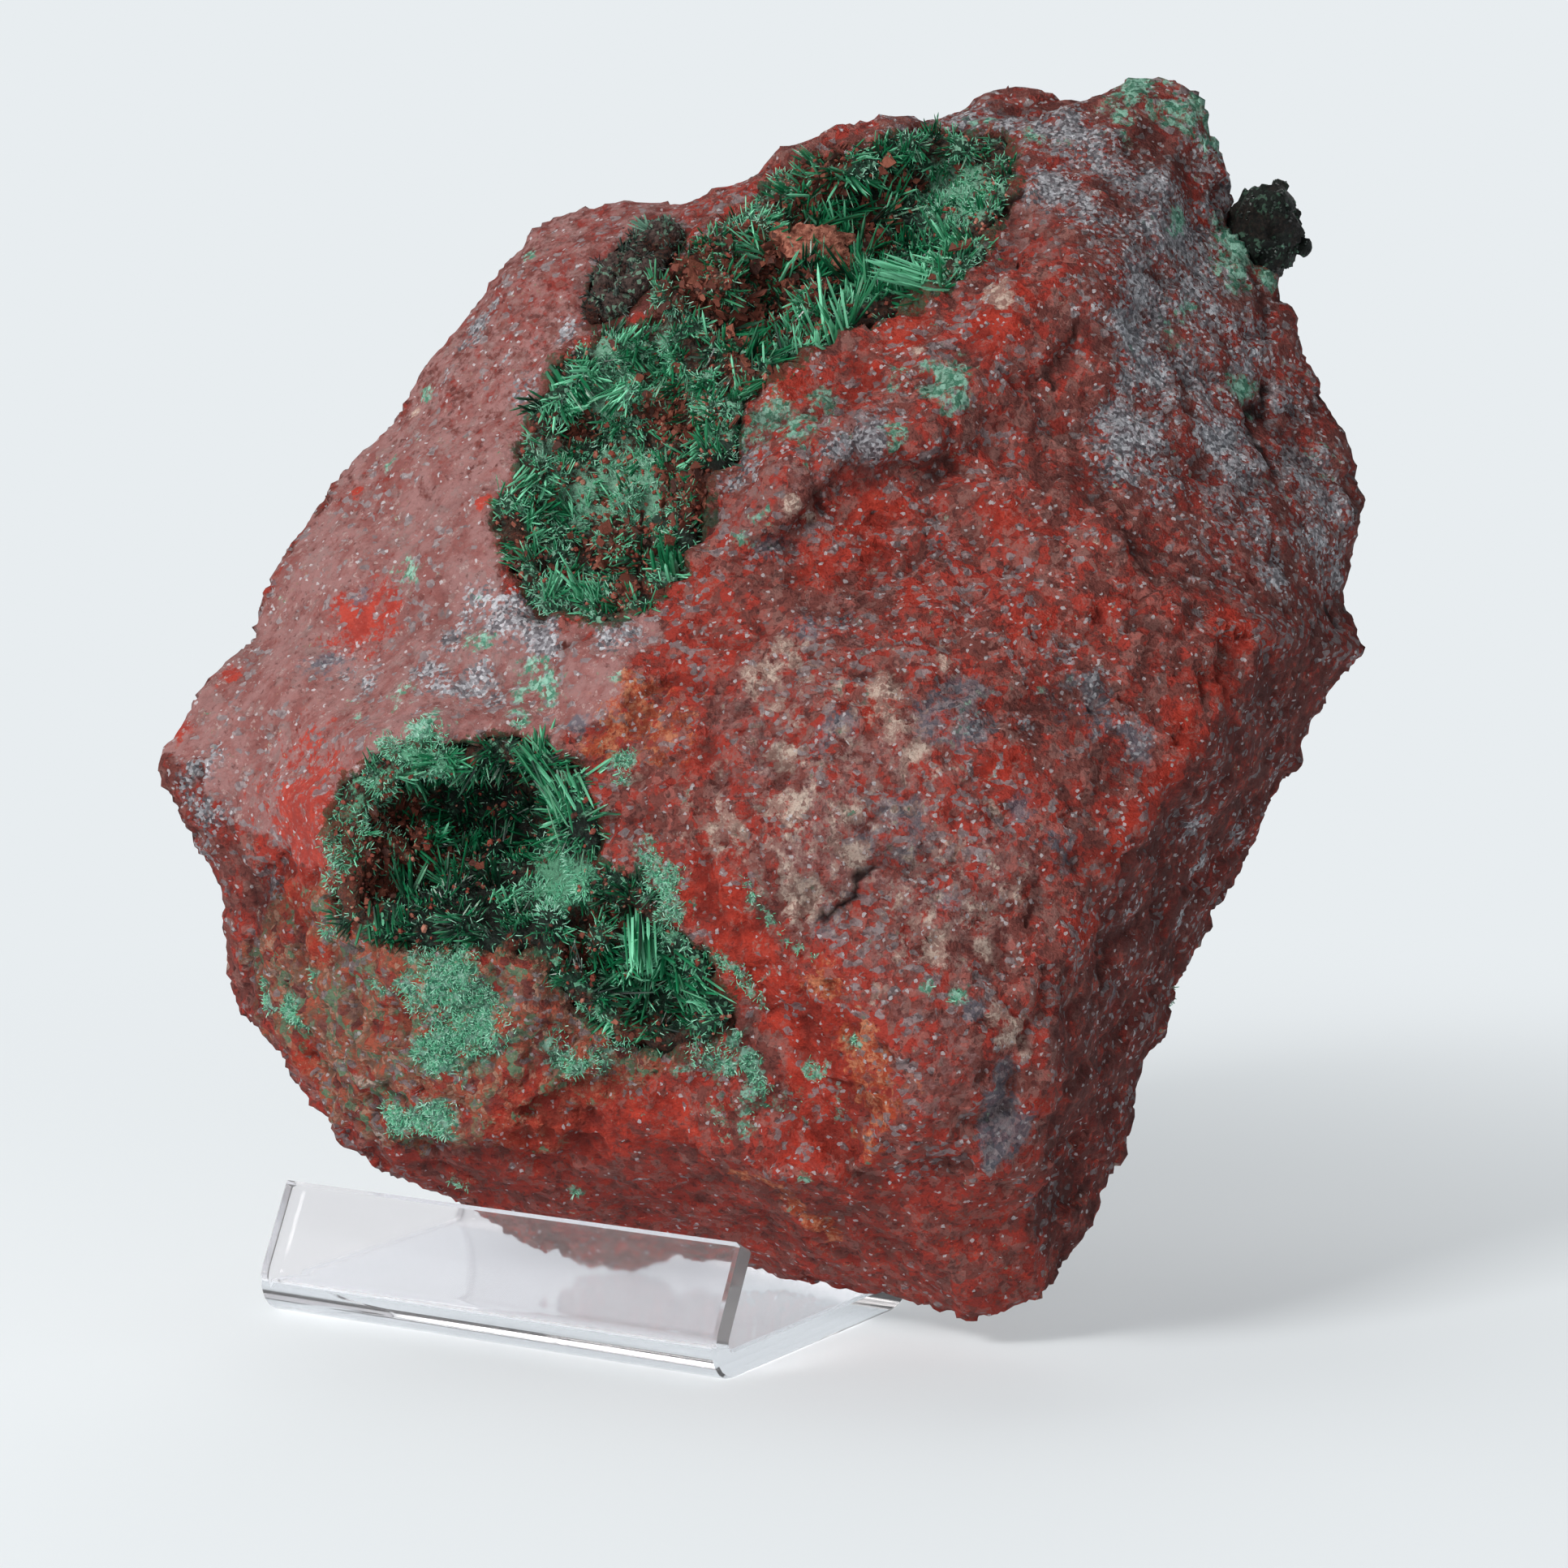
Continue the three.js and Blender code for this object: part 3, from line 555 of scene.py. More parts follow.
CREAM = [
    (0.6, 10.4, 1.1, 0.8), (-1.6, 8.4, 1.3, 0.7), (-0.5, 6.5, 1, 0.6), (8.4, 7.3, 1.1, 0.8),
    (8.8, 4.5, 0.9, 0.8), (10, 2.6, 1, 0.8), (0, 2, 1.2, 0.9), (0.8, -2, 1.2, 0.8), (5.4, -5.6, 1.2, 0.9),
    (1.8, -8.6, 1.6, 0.8), (-0.5, -7, 1, 0.6), (16.6, -2.2, 0.9, 0.8), (12, -12.6, 1.3, 0.8),
    (11, -10.5, 0.9, 0.6), (16, -13, 0.7, 0.8), (18, -19.6, 1.4, 0.9), (17, -18, 0.8, 0.7),
    (19, -21.6, 0.8, 0.8), (13.5, -5, 1, 0.6), (18.5, -8, 1.2, 0.6), (0.6, 21.8, 0.7, 1),
    (2, 21.2, 0.5, 1), (10.8, 34.5, 0.7, 0.8), (17, 39, 1, 1), (17.8, 38.4, 0.8, 1), (16.6, 40.2, 0.5, 1),
    (-30, 29.4, 0.7, 0.8), (-33.4, -27.8, 1, 0.9), (-33.8, -23.4, 0.7, 0.9), (-32.8, -24.2, 0.5, 0.9),
    (-28.5, -26.6, 1.2, 0.9), (-30.3, -26.6, 0.9, 0.7), (-15, -25.5, 0.5, 0.5), (7, 17, 0.4, 0.8),
    (7.3, -16.5, 0.8, 0.6), (-5, 1, 0.8, 0.5), (-5, -5, 0.8, 0.6), (-12, 0, 1, 0.6), (-14, -3, 1, 0.5),
    (-42, -10, 0.6, 0.7), (9, -13.5, 0.6, 0.7), (3, 4, 6, 0.32), (1, -6, 6, 0.42), (9, 2, 5, 0.34),
    (13, -9, 5, 0.36), (5, -4, 3, 0.5), (-5, -3, 3, 0.4), (8, 6, 2, 0.5), (0, 9, 2.4, 0.5),
    (12.8, 9.4, 1, 0.5), (10.9, 2, 1.4, 0.6), (12, -13, 2, 0.5), (24.6, 19, 0.3, 1),
]
GREEN = [
    (-24, 11.4, 1, 0.9), (-19, 8, 2, 0.75), (-20.5, 7, 1.2, 0.6), (-29.3, 17, 1.3, 0.7),
    (-30, 7.2, 1.2, 0.5), (-34, 5.6, 1.2, 0.4), (-21, 42.4, 0.8, 0.8), (-28.6, 31.6, 1, 0.7),
    (-13.5, 8.5, 0.5, 0.7), (-21, 5.3, 1.2, 0.6), (-22, 5.2, 0.8, 0.5), (-31.5, 25, 0.8, 0.4),
    (12.8, 32.5, 1.6, 1), (12, 31, 1.3, 0.9), (13.5, 30.5, 1, 0.9), (11.3, 33, 0.9, 0.8),
    (8.5, 27.6, 0.9, 0.9), (8.7, 26.4, 0.6, 0.8), (-1, 29, 2, 0.9), (1.5, 28.5, 1.6, 0.8),
    (3.5, 30.5, 1.2, 0.8), (-3.5, 27.5, 1.4, 0.8), (8.8, 31.8, 1, 0.6), (1.5, 25.5, 0.8, 0.5),
    (-1.5, 21, 0.8, 0.6), (-3.4, 19.5, 0.7, 0.6), (31.4, 44.6, 1.3, 0.8), (36, 42.8, 2.4, 0.9),
    (37.5, 43, 1.6, 0.9), (35.5, 40.5, 1.8, 0.7), (38.8, 41, 1.2, 0.8), (36, 31.5, 1.5, 0.8),
    (31.5, 37.4, 1.2, 0.6), (30.5, 35.5, 1, 0.5), (37.8, 29.4, 0.5, 0.9), (33, 53.5, 2.2, 0.9),
    (34, 51, 1.6, 0.9), (28, 55, 2, 0.9), (30.5, 53.5, 1.4, 0.8), (27, 53, 1.4, 0.6), (27, 51.5, 0.8, 0.6),
    (20, 51, 1.2, 0.6), (21.5, 50.7, 0.8, 0.6), (25.5, 30.5, 1, 0.4), (16, 52.5, 1.2, 0.6),
    (43, 26, 1.4, 0.35), (-18, 1.4, 0.8, 0.6), (-13, 1.3, 0.9, 0.9), (-12.5, 0.2, 0.8, 0.9),
    (-9.3, -8, 2, 0.85), (-10.5, -6, 1.4, 0.7), (-8.8, -10, 1.2, 0.8), (-33, -1.5, 1.8, 0.8),
    (-32, -2.2, 1.2, 0.7), (-31.5, 1.5, 1.4, 0.8), (-28, 2.8, 2, 0.8), (-30, 0.8, 1.4, 0.8),
    (-35, -5.5, 1.6, 0.7), (-36, -8, 1.4, 0.6), (-38, -15.5, 0.9, 0.6), (-39, -18, 1.4, 0.8),
    (-41, -17, 1.2, 0.7), (-41.5, -15.5, 0.8, 0.5), (-36.5, -11, 1.2, 0.6), (-26.5, -15, 2.4, 1),
    (-25, -17.5, 2.6, 1), (-24.5, -20, 2, 1), (-27.5, -20.8, 1.8, 1), (-29, -16, 1.4, 0.7),
    (-28, -13.5, 1.4, 0.8), (-32, -16, 1.2, 0.5), (-31, -26, 1.4, 0.9), (-29, -27, 1.8, 0.9),
    (-27.3, -26.3, 1.4, 0.9), (-25, -23.3, 1, 0.5), (-17, -21.8, 1.2, 0.8), (-15, -22, 1.2, 0.7),
    (-14, -20.5, 1, 0.5), (-12, -21, 1, 0.5), (-18, -20, 1, 0.6), (-7, -21, 1.2, 0.7), (-5, -22, 1.2, 0.7),
    (-4.5, -20, 1, 0.7), (-3, -22, 1, 0.9), (-2, -23.4, 0.9, 0.9), (-8, -22.5, 1.4, 0.4),
    (2.2, -23, 1, 0.6), (1, -25, 1.8, 0.4), (3.5, -25.5, 1.2, 0.4), (-2, -25.5, 2, 0.4),
    (-5, -26.5, 1.6, 0.4), (-3, -27, 1.4, 0.4), (5.6, -20.4, 0.7, 0.8), (1.5, -31, 0.7, 0.6),
    (-25.5, -32, 0.9, 0.8), (-16.5, -32.5, 0.6, 0.8), (14.5, 5, 1.4, 0.35), (13.7, -16.5, 0.6, 0.6),
    (11.5, -16, 0.5, 0.6),
] + line([(-3, -7.8), (-2, -9.5), (0, -12), (2.5, -14)], 0.4, 0.8) \
  + line([(-6, -13), (-4, -14.5), (-1.5, -17.5)], 0.4, 0.8)
GLITTER = [
    (-22, 13.5, 2.2, 1), (-24, 14.5, 1.6, 0.9), (-19.5, 12, 2.2, 1), (-25.5, 13, 1.2, 0.8),
    (-26.5, 11.6, 1, 1), (-27, 8, 1.8, 0.9), (-24.5, 8.5, 1.6, 0.8), (-28, 9, 1.2, 0.8),
    (-23, 6.5, 1.4, 0.6), (-13.5, 11.5, 1.4, 1), (-14.3, 12.2, 0.8, 1), (-29.5, 6, 0.8, 0.8),
    (-36, 9.5, 1.4, 0.6), (-33, 8, 1, 0.8), (-34, 9, 1.6, 0.5), (-23.1, 38.2, 0.7, 1),
    (-24.5, 36.5, 1.1, 0.9), (-25.5, 35.2, 0.8, 0.8), (-24, 35.2, 0.8, 0.7), (-17, 36, 1.2, 0.9),
    (-17.8, 35.2, 0.8, 0.7), (-22, 33.8, 0.7, 0.8), (-20.6, 32, 1.2, 0.8), (-21, 31, 0.9, 1),
    (-27, 32.5, 0.9, 0.7), (-13.5, 44.5, 0.8, 0.5), (-11.5, 46, 1.2, 0.5), (-47, 0.5, 1.8, 0.8),
    (-45.5, -2, 1.6, 0.8), (-45, 2.5, 1, 0.8), (-41, -8, 1.2, 0.8), (-46, -5, 1.6, 0.5), (6.5, 27, 1.8, 1),
    (5, 26, 1.6, 0.8), (7.5, 28.5, 0.9, 0.8), (3, 24, 1.4, 0.5), (-3, 26, 1.4, 0.7), (-4, 24, 1.2, 0.7),
    (-1.5, 18.5, 1.2, 0.7), (-5.5, 21, 1, 0.6), (0, 19, 1.2, 0.5), (22, 52, 2.4, 0.9),
    (24, 50.5, 2.6, 0.8), (19, 52.5, 2, 0.7), (14, 52.5, 2.4, 0.6), (8, 52.3, 2, 0.5),
    (21.5, 47.5, 2.4, 0.9), (23.5, 45.5, 2, 0.8), (26, 48, 2, 0.7), (29, 47, 3, 0.8), (32, 43, 4, 0.8),
    (28, 43, 3, 0.7), (28.5, 39, 3, 0.9), (27.5, 36, 2.6, 0.9), (32, 39, 3.4, 0.7), (35, 46, 3, 0.7),
    (34, 50, 2, 0.6), (29, 32, 3, 0.7), (27.5, 28, 2.6, 1), (26.5, 25.5, 2, 0.8), (34.5, 27.5, 2.6, 0.9),
    (36.5, 25, 2.4, 0.8), (33, 32, 3, 0.7), (37, 35, 3.4, 0.6), (40, 31, 3, 0.5), (41, 25, 2.6, 0.8),
    (43, 22, 2.4, 0.8), (42, 19, 2.2, 0.7), (39, 16.5, 1.4, 0.8), (44, 17, 1.6, 0.7), (30, 24, 2, 0.6),
    (37, 21, 3, 0.5), (33, 17, 2, 0.4), (26, 6, 2.4, 0.5), (28, 4, 1.6, 0.5), (16, 4.5, 1.4, 0.7),
    (22, 10, 1.4, 0.5), (19, 5, 1.2, 0.5), (24, 8, 1.6, 0.8), (33, -4, 1.2, 0.9), (33.5, -7, 1.2, 1),
    (36.5, -4, 1.4, 0.8), (39.5, 0.5, 1, 0.8), (32.5, -11, 1.2, 0.8), (28, -10, 1.6, 0.5),
    (27.5, -14, 1.6, 0.5), (25, -18, 1.6, 0.4), (4, 13, 1.6, 0.5), (12, 18, 1.6, 0.4), (15, 14, 1.6, 0.4),
    (-13.4, -1, 0.6, 0.5),
]
SLATE = [
    (12.5, 6, 1.8, 0.9), (11.5, 4.5, 1.4, 0.8), (13.8, 8, 1.4, 0.7), (4, 4.5, 1.4, 0.8),
    (3, 2.8, 1.2, 0.6), (15.5, 4, 1.6, 0.8), (24.5, 6, 2.2, 0.7), (27.5, 3.5, 1.8, 0.7),
    (9.3, -2, 1.6, 0.7), (6.5, -4.5, 1.6, 0.7), (18.5, -1.8, 1.2, 0.8), (10, -5.5, 1.8, 0.5),
    (12, -9.5, 1.2, 0.7), (3, -11, 1.6, 0.5), (17.4, -23.4, 1.1, 1), (16.6, -25, 1.2, 1),
    (17.5, -25.5, 1.4, 1), (16.6, -27.4, 1.4, 1), (17.7, -27.5, 1.5, 1), (16.8, -29, 1.2, 1),
    (14.8, -18.2, 0.9, 0.9), (-16.4, 4.6, 0.7, 1), (22, -5, 1.2, 0.6), (2.5, 12, 1.6, 0.6),
    (-1, 19, 1.2, 0.6), (29.4, 33, 1.4, 0.7), (27.5, 36, 1.8, 0.7), (34.5, 28, 2, 0.6), (29, 44, 2, 0.5),
    (-36.3, 9.2, 1.6, 0.7), (-33.3, 14.8, 1, 0.8), (19.4, -33, 0.8, 0.6), (27, -16.5, 0.8, 0.6),
    (10, 53, 2, 0.5), (16, 53, 1.6, 0.5),
]
# Cracks and grooves are sunk into the skin, and the finish also paints shade along them.
CRACKS = line([(3, -10.6), (4.8, -9.6), (5.6, -8.2), (5.8, -7.2), (7.2, -6.4)], 0.42, 1) \
    + line([(38.2, 31.2), (37.2, 29.6), (37, 28), (38, 26.8), (38.8, 25)], 0.55, 1) \
    + line([(17.3, 45.6), (18.6, 46.9)], 0.5, 1) + line([(43.8, 14.5), (44.2, 13)], 0.5, 1) \
    + line([(38.1, 31.5), (38.1, 29.3)], 0.6, 1) + line([(-39.5, -5.2), (-41.5, -7)], 0.4, 0.8)
GROOVES = line([(0, 19.3), (2, 20.8), (4.5, 22.8), (7, 25), (9, 24.8), (11, 24.6), (13, 25.5)], 1.0, 1) \
    + line([(14, 8), (17, 6), (20, 6.5)], 0.9, 0.6) \
    + line([(-40, -6), (-42, -9), (-44, -10)], 1.0, 0.6) + line([(6, -9), (9, -10), (11, -13)], 0.9, 0.6) \
    + line([(-33, -29.4), (-25, -29.6), (-18, -30.4), (-15, -27)], 0.9, 0.8)
BLOCKS = [
    (6, 27, 3, 1), (10, 28, 3, 0.8), (1.5, 23.8, 2.4, 0.8), (24, 42, 3, 0.8), (25, 34, 2.6, 0.6),
    (10, 10, 3, 0.5), (23, 16, 3, 0.7), (4, 7, 2.6, 0.5), (14, -6, 3, 0.6), (-30, -16, 3, 0.6),
]
marks = {
    "bright": BRIGHT, "orange": ORANGE, "dusty": DUSTY, "cream": CREAM, "green": GREEN,
    "glitter": GLITTER, "slate": SLATE, "crack": CRACKS, "groove": GROOVES, "block": BLOCKS,
}
found = {name: spots(seen) for name, seen in marks.items()}


# %% [markdown]
# No photograph shows the far side. It gets the same marks as the front, in patches that a slow noise
# picks: how wide they are, how rare and how strong.

# %% Patches on the far side
def patches(size, shift, rare, strength):
    """Patches about size millimetres wide on the part of the rock that faces away."""
    slow = each(places, lambda p: noise.noise(p / size + Vector((shift, shift, 0))))
    return np.where(facing, 0.0, np.clip((slow - rare) * 4.0, 0.0, strength))


FAR_SIDE = {
    "dusty": (15, 10, -0.05, 0.7), "bright": (9, 20, 0.2, 0.8), "green": (6, 30, 0.38, 0.85),
    "glitter": (11, 40, 0.16, 0.6), "slate": (8, 50, 0.25, 0.85), "cream": (5, 60, 0.36, 0.8),
    "orange": (6, 70, 0.34, 0.7),
}
for name, patch in FAR_SIDE.items():
    found[name] = np.maximum(found[name], patches(*patch))
found["bright"] = np.maximum(found["bright"], np.select([underside, shaded_side], [0.36, 0.26], 0.0))
slab_dust = 0.94 - 0.36 * np.clip((v - 18) / 18, 0.0, 1.0)
found["dusty"] = np.maximum(found["dusty"], np.where(slab, slab_dust, np.where(crust, 0.3, 0.0)))
# The dark mark is partly painted shade: strongest on the shaded side, which faces away from the lamps,
# weaker on the underside, the left end and the right slope. On the slab it stands for darker stone.
found["dark"] = np.select([shaded_side, left_end, right_slope, underside, slab],
                          [1.0, 0.5, 0.55, 0.4, 0.6], 0.0)
found["speckle"] = np.select([underside, right_slope, slab | crust, shaded_side],
                             [-0.5, 1.1, 0.2, 0.35], 0.4)
found["slab"] = slab.astype(float)
found["relief"] = np.select([slab, crust, right_slope, underside], [0.45, 1.7, 1.1, 1.0], 1.3)
found["crust"] = crust.astype(float)
found["hollow"] = near_crystals
# How high the skin stands; the finish paints shade where it lies low.
found["raised"] = np.clip(0.5 + lift / 1.1, 0.0, 1.0)
for name, values in found.items():
    note(rock, name, values)
stain_lift = 0.35 * found["green"] * each(places, lambda p: 0.5 + noise.noise(p / 0.9))
step_lift = 0.8 * found["block"] - 0.9 * found["groove"] - 0.45 * found["crack"]
move_skin(rock, places + normals * (stain_lift + step_lift)[:, None])
rock_tree = BVHTree.FromObject(rock, bpy.context.evaluated_depsgraph_get())


# %% [markdown]
# The rock is a mosaic of mineral grains, about a millimetre wide: brick red, maroon, ash and near black.
# Noises of three sizes decide which grain gets which colour. A mark doesn't tint the rock, it says how
# many of the grains are of its colour, so its edge is ragged.

# %% The grains of the rock
stone = Finish("iron_stained_rock")
fine = stone.noise(0.4, 4.0, 0.7) - 0.5
patchy = stone.noise(2.0, 5.0, 0.62) - 0.5
broad = stone.noise(8.0, 3.0, 0.55) - 0.5
warped = stone.warped(0.8, 0.13)
medium, grain, other = stone.facets(1.0, warped)
small, speck, sort = stone.facets(0.42, warped)
coarse, _, _ = stone.facets(2.6, warped)
torn = 0.5 + (stone.noise(1.5, 5.0, 0.66) - 0.5) * 2.4 + (speck - 0.5) * 0.35 + fine * 0.8


def mark(name):
    return stone.attribute(name)


def share(name, cover=1.0, soft=0.25):
    """Where a mark covers the rock: all over where it is strong, in ragged flecks where it is weak."""
    return stone.step(mark(name) * cover - torn, -0.1, soft)


redness = patchy * 2.4 + broad * 1.4 + (grain - 0.5) * 0.6 + (speck - 0.5) * 0.3 + mark("bright") * 0.4
colour = stone.mix(stone.step(redness, -0.2, 0.25), srgb(126, 70, 64), srgb(166, 60, 50))
colour = stone.lay(colour, other + fine * 1.6 + patchy, 0.55, 0.8, 0.5, srgb(154, 116, 109))
colour = stone.lay(colour, sort + fine * 1.2 - mark("bright") * 0.2, 0.76, 0.9, 0.6, srgb(66, 33, 34))
# Painted shade, partly darker stone: dark maroon grains where the dark mark says so, most of them on the
# shaded side.
colour = stone.mix(mark("dark") * stone.step(torn, -0.1, 0.7) * 0.8, colour, srgb(84, 42, 40))

# %% [markdown]
# The crumbly crust is browner, with olive and pink crumbs. On the weathered slab lies pink dust, drawn
# into streaks: a noise whose place is pressed together along one direction runs along it.

# %% Crust and dust
crusty = stone.mix(stone.step(torn, 0.3, 0.7), srgb(126, 96, 76), srgb(176, 90, 70))
crusty = stone.mix(stone.step(grain + fine, 0.62, 0.75), crusty, srgb(108, 132, 104))
crusty = stone.mix(stone.step(sort + fine, 0.75, 0.9), crusty, srgb(176, 132, 112))
colour = stone.mix(mark("crust") * stone.step(other + patchy, 0.05, 0.35), colour, crusty)
STREAKS_RUN = tuple(Vector((0.62, 0.34, 0.70)).normalized())
run = stone.vector("DOT_PRODUCT", stone.place(), STREAKS_RUN, "Value")
pressed = stone.node("VectorMath", {"operation": "SCALE"}, {0: STREAKS_RUN, "Scale": run * 0.6})
streaks = stone.noise(0.9, 5.0, 0.7, stone.vector("SUBTRACT", stone.place(), pressed)) - 0.5
dusty = stone.mix(stone.step(streaks * 0.9 + patchy * 0.8 + broad, -0.16, 0.2),
                  srgb(155, 115, 113), srgb(132, 86, 83))
dusty = stone.lay(dusty, other + fine * 1.6 + streaks, 0.75, 0.95, 0.45, srgb(138, 122, 120))
dusty = stone.lay(dusty, speck + fine * 1.4, 0.92, 1.04, 0.6, srgb(186, 166, 162))
dusty = stone.lay(dusty, sort + fine * 1.5 + streaks * 0.8, 1.0, 1.1, 0.6, srgb(92, 48, 46))
colour = stone.mix(share("dusty", 1.2, 0.5) * 0.88, colour, dusty)

# %% [markdown]
# Over the grains lie scarlet and ochre patches, stretched flecks of grey ore, slate and cream stains. Where
# the mark says glitter, many small grains are metallic and shine. Tiny pale specks everywhere are painted
# glints, and green stains come last.

# %% Stains, ores and painted glints
scarlet = stone.mix(stone.step(patchy + fine * 0.5, -0.1, 0.12), srgb(156, 44, 31), srgb(184, 61, 45))
colour = stone.mix(share("bright", 0.95) * 0.85, colour, scarlet)
ochre = stone.mix(stone.step(fine + patchy, -0.1, 0.15), srgb(166, 70, 42), srgb(206, 136, 100))
colour = stone.mix(share("orange") * 0.85, colour, ochre)
_, fleck, _ = stone.facets(0.5, stone.vector("MULTIPLY", stone.place(), (0.7, 0.85, 1.0)))
grey = stone.mix(speck, srgb(104, 98, 102), srgb(154, 148, 150))
colour = stone.lay(colour, fleck + mark("speckle") * 0.16 + patchy * 0.6 + broad, 0.94, 0.98, 0.75, grey)
slate = stone.mix(stone.step(speck + fine, 0.3, 0.8), srgb(94, 99, 110), srgb(142, 138, 143))
colour = stone.mix(share("slate", 1.25, 0.4) * 0.8, colour, slate)
cream = stone.mix(stone.step(fine + (speck - 0.5) * 0.4, -0.15, 0.1),
                  srgb(160, 126, 116), srgb(208, 188, 174))
colour = stone.mix(share("cream", 1.2, 0.3) * 0.9, colour, cream)
_, glint, shade = stone.facets(0.3)
cluster = (stone.noise(2.4, 4.0, 0.62) - 0.5) * 1.3
glitter = mark("glitter") * 0.86 + mark("speckle") * 0.12 + (glint - 0.5) * 0.55 + cluster
sparkle = stone.step(glitter, 0.46, 0.76)
metal = stone.mix(stone.step(shade, 0.1, 1.1), srgb(92, 93, 99), srgb(192, 195, 201))
colour = stone.mix(sparkle * 0.9, colour, metal)
# Painted glints: tiny pale specks laid into the colour of a matt surface, as the highlights that small
# grains catch.
tiny_grain, painted_glint, _ = stone.facets(0.27)
painted_glint = painted_glint + mark("speckle") * 0.012 - mark("dusty") * 0.01 + patchy * 0.05
colour = stone.lay(colour, painted_glint, 0.975, 0.985, 0.75, srgb(196, 192, 196))
stain = stone.mix(stone.step(fine + (sort - 0.5) * 0.4, -0.15, 0.15),
                  srgb(62, 130, 106), srgb(146, 198, 178))
colour = stone.mix(share("green", 1.05, 0.3) * 0.9, colour, stain)

# %% [markdown]
# Near the hollows the rock is lined with brown and green. Where the skin lies low, in the grooves and
# along the cracks, shade is painted into its colour.
# The relief finer than the skin is a bump: grains of four sizes, and the streaks of the slab.

# %% Linings, painted shade and the finest relief
lining = stone.mix(stone.step(patchy + fine, -0.1, 0.1), srgb(92, 50, 38), srgb(44, 84, 62))
colour = stone.lay(colour, mark("hollow") - torn * 0.5, 0.5, 0.62, 0.85, lining)
# Painted shade: dark maroon where the skin lies low and in the grooves, near black along the cracks.
painted_hollow_shade = stone.step(0.5 - mark("raised"), 0.0, 0.35) * 0.42 + mark("groove") * 0.3
colour = stone.mix(painted_hollow_shade, colour, srgb(48, 24, 24))
colour = stone.mix(stone.step(mark("crack"), 0.3, 1.1), colour, srgb(28, 13, 13))
relief = (coarse * 0.22 + medium * 0.5 + small * 0.7 + fine * 0.42 + tiny_grain * 0.3) * mark("relief")
rock.data.materials.append(stone.surface({
    "Base Color": colour,
    "Roughness": 0.8 - sparkle * 0.42,
    "Metallic": sparkle * 0.6,
    "Specular IOR Level": 0.15,
    "Normal": stone.bump(relief + streaks * mark("slab") * 0.15),
}))
deselect()
rock.select_set(True)
bpy.context.view_layer.objects.active = rock
bpy.ops.object.shade_smooth()
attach(rock, "root")
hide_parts("matrix_rock")

# %% [markdown]
# Under the needles lies a crust of green and rust-brown crumbs. Each crust solid is copied, remeshed
# finely and roughened more strongly than the rock. It is pushed out a little so that no gap shows
# between it and the hollow's wall.

# %% The crusts that the needles stand on
def zone(seen, h_at, v_at, start):
    """A value for each place, drawn from spots of h, v, radius and value over a starting value."""
    value = np.full(len(h_at), float(start))
    for spot_h, spot_v, radius, target_value in seen:
        share = np.clip(1.4 - np.hypot(h_at - spot_h, v_at - spot_v) / radius, 0.0, 1.0)
        value += (target_value - value) * share
    return value


UPPER_PALE = [
    (-13, 31, 3.5, 0.8), (-17, 22, 3, 0.7), (-12, 23, 4, 0.95), (-19, 26, 3, 0.5), (-6, 31, 2.5, 0.7),
    (-9, 36, 3, 0.5), (14, 47, 3, 0.9), (12, 45, 2.5, 0.6), (13, 38, 3, 0.9), (0, 29, 3, 0.9),
    (-18, 15, 2.5, 0.5), (-8, 17, 2, 0.6), (-1, 46, 3, 0.5), (-14, 34, 2, 0.6), (-4, 27, 2, 0.7),
]
UPPER_RUSTY = [
    (-9, 29.5, 2.4, 0.9), (-7, 40, 2.6, 0.9), (-3, 41, 2.6, 0.8), (1, 42, 3.5, 0.9), (3, 47, 3, 0.6),
    (-3, 35, 2.5, 0.8), (1, 37, 2.5, 0.7), (-13, 19, 2, 0.7), (-7, 23, 2.5, 0.8), (-16, 28, 1.6, 0.6),
    (-3, 32, 1.5, 0.8), (6, 43, 3, 0.7), (-21, 18, 1.4, 0.7), (-12, 15, 1.6, 0.6), (9, 47, 2, 0.5),
]
UPPER_DEEP = [
    (-5, 24, 3, 1), (-8, 20, 3, 0.9), (4, 39, 2.6, 0.9), (9, 43, 3.6, 0.9), (-1, 38, 3, 0.8),
    (7, 45, 3, 0.8), (-16, 34, 1.8, 0.8), (-14, 17, 2, 0.6), (-10, 14, 2.4, 0.7), (4, 43, 4, 0.8),
    (-15, 27, 2, 0.7), (-11, 28, 1.6, 0.7), (-19, 21, 1.6, 0.7),
]
LOWER_PALE = [
    (-18, -8.5, 2.8, 1), (-17, -7, 2, 1), (-28, 2, 2.4, 0.8), (-33, -2, 2.4, 0.8), (-31, 0.5, 2, 0.7),
    (-35, -6, 1.6, 0.5), (-17, 0, 1.6, 0.5), (-10, -8, 1.6, 0.9), (-9, -12, 2, 0.5), (-15, -19, 2, 0.7),
]
LOWER_RUSTY = [
    (-28, -5, 3, 0.6), (-32, -4, 3, 0.95), (-33, -8, 2.6, 0.95), (-20, -14, 2, 0.7), (-16, -13.5, 2, 0.7),
    (-14, -10, 1.6, 0.7), (-25, -6, 1.6, 0.6), (-31, -1, 2, 0.7), (-12, -20, 2, 0.6),
]
LOWER_DEEP = [
    (-24, -10, 5, 1), (-24, -1, 4, 0.9), (-16, -4, 2.5, 1), (-29, -11, 2.4, 1), (-20, -12, 3, 1),
    (-22, -5, 3, 1), (-9, -15, 2, 0.6), (-7, -17, 2, 0.6),
]
LOWER_BARE = [(-32, -4, 3.6, 0.85), (-33, -8, 3, 0.8), (-18, -8, 2.4, 0.9), (-30, -1, 2, 0.6)]


def clumps(places_at):
    """Where the crystals stand in clumps, about 1, and where there are gaps between them, below 0."""
    return each(places_at, lambda p: 1.6 * noise.noise(p / 2.1 + Vector((5, 5, 5))))


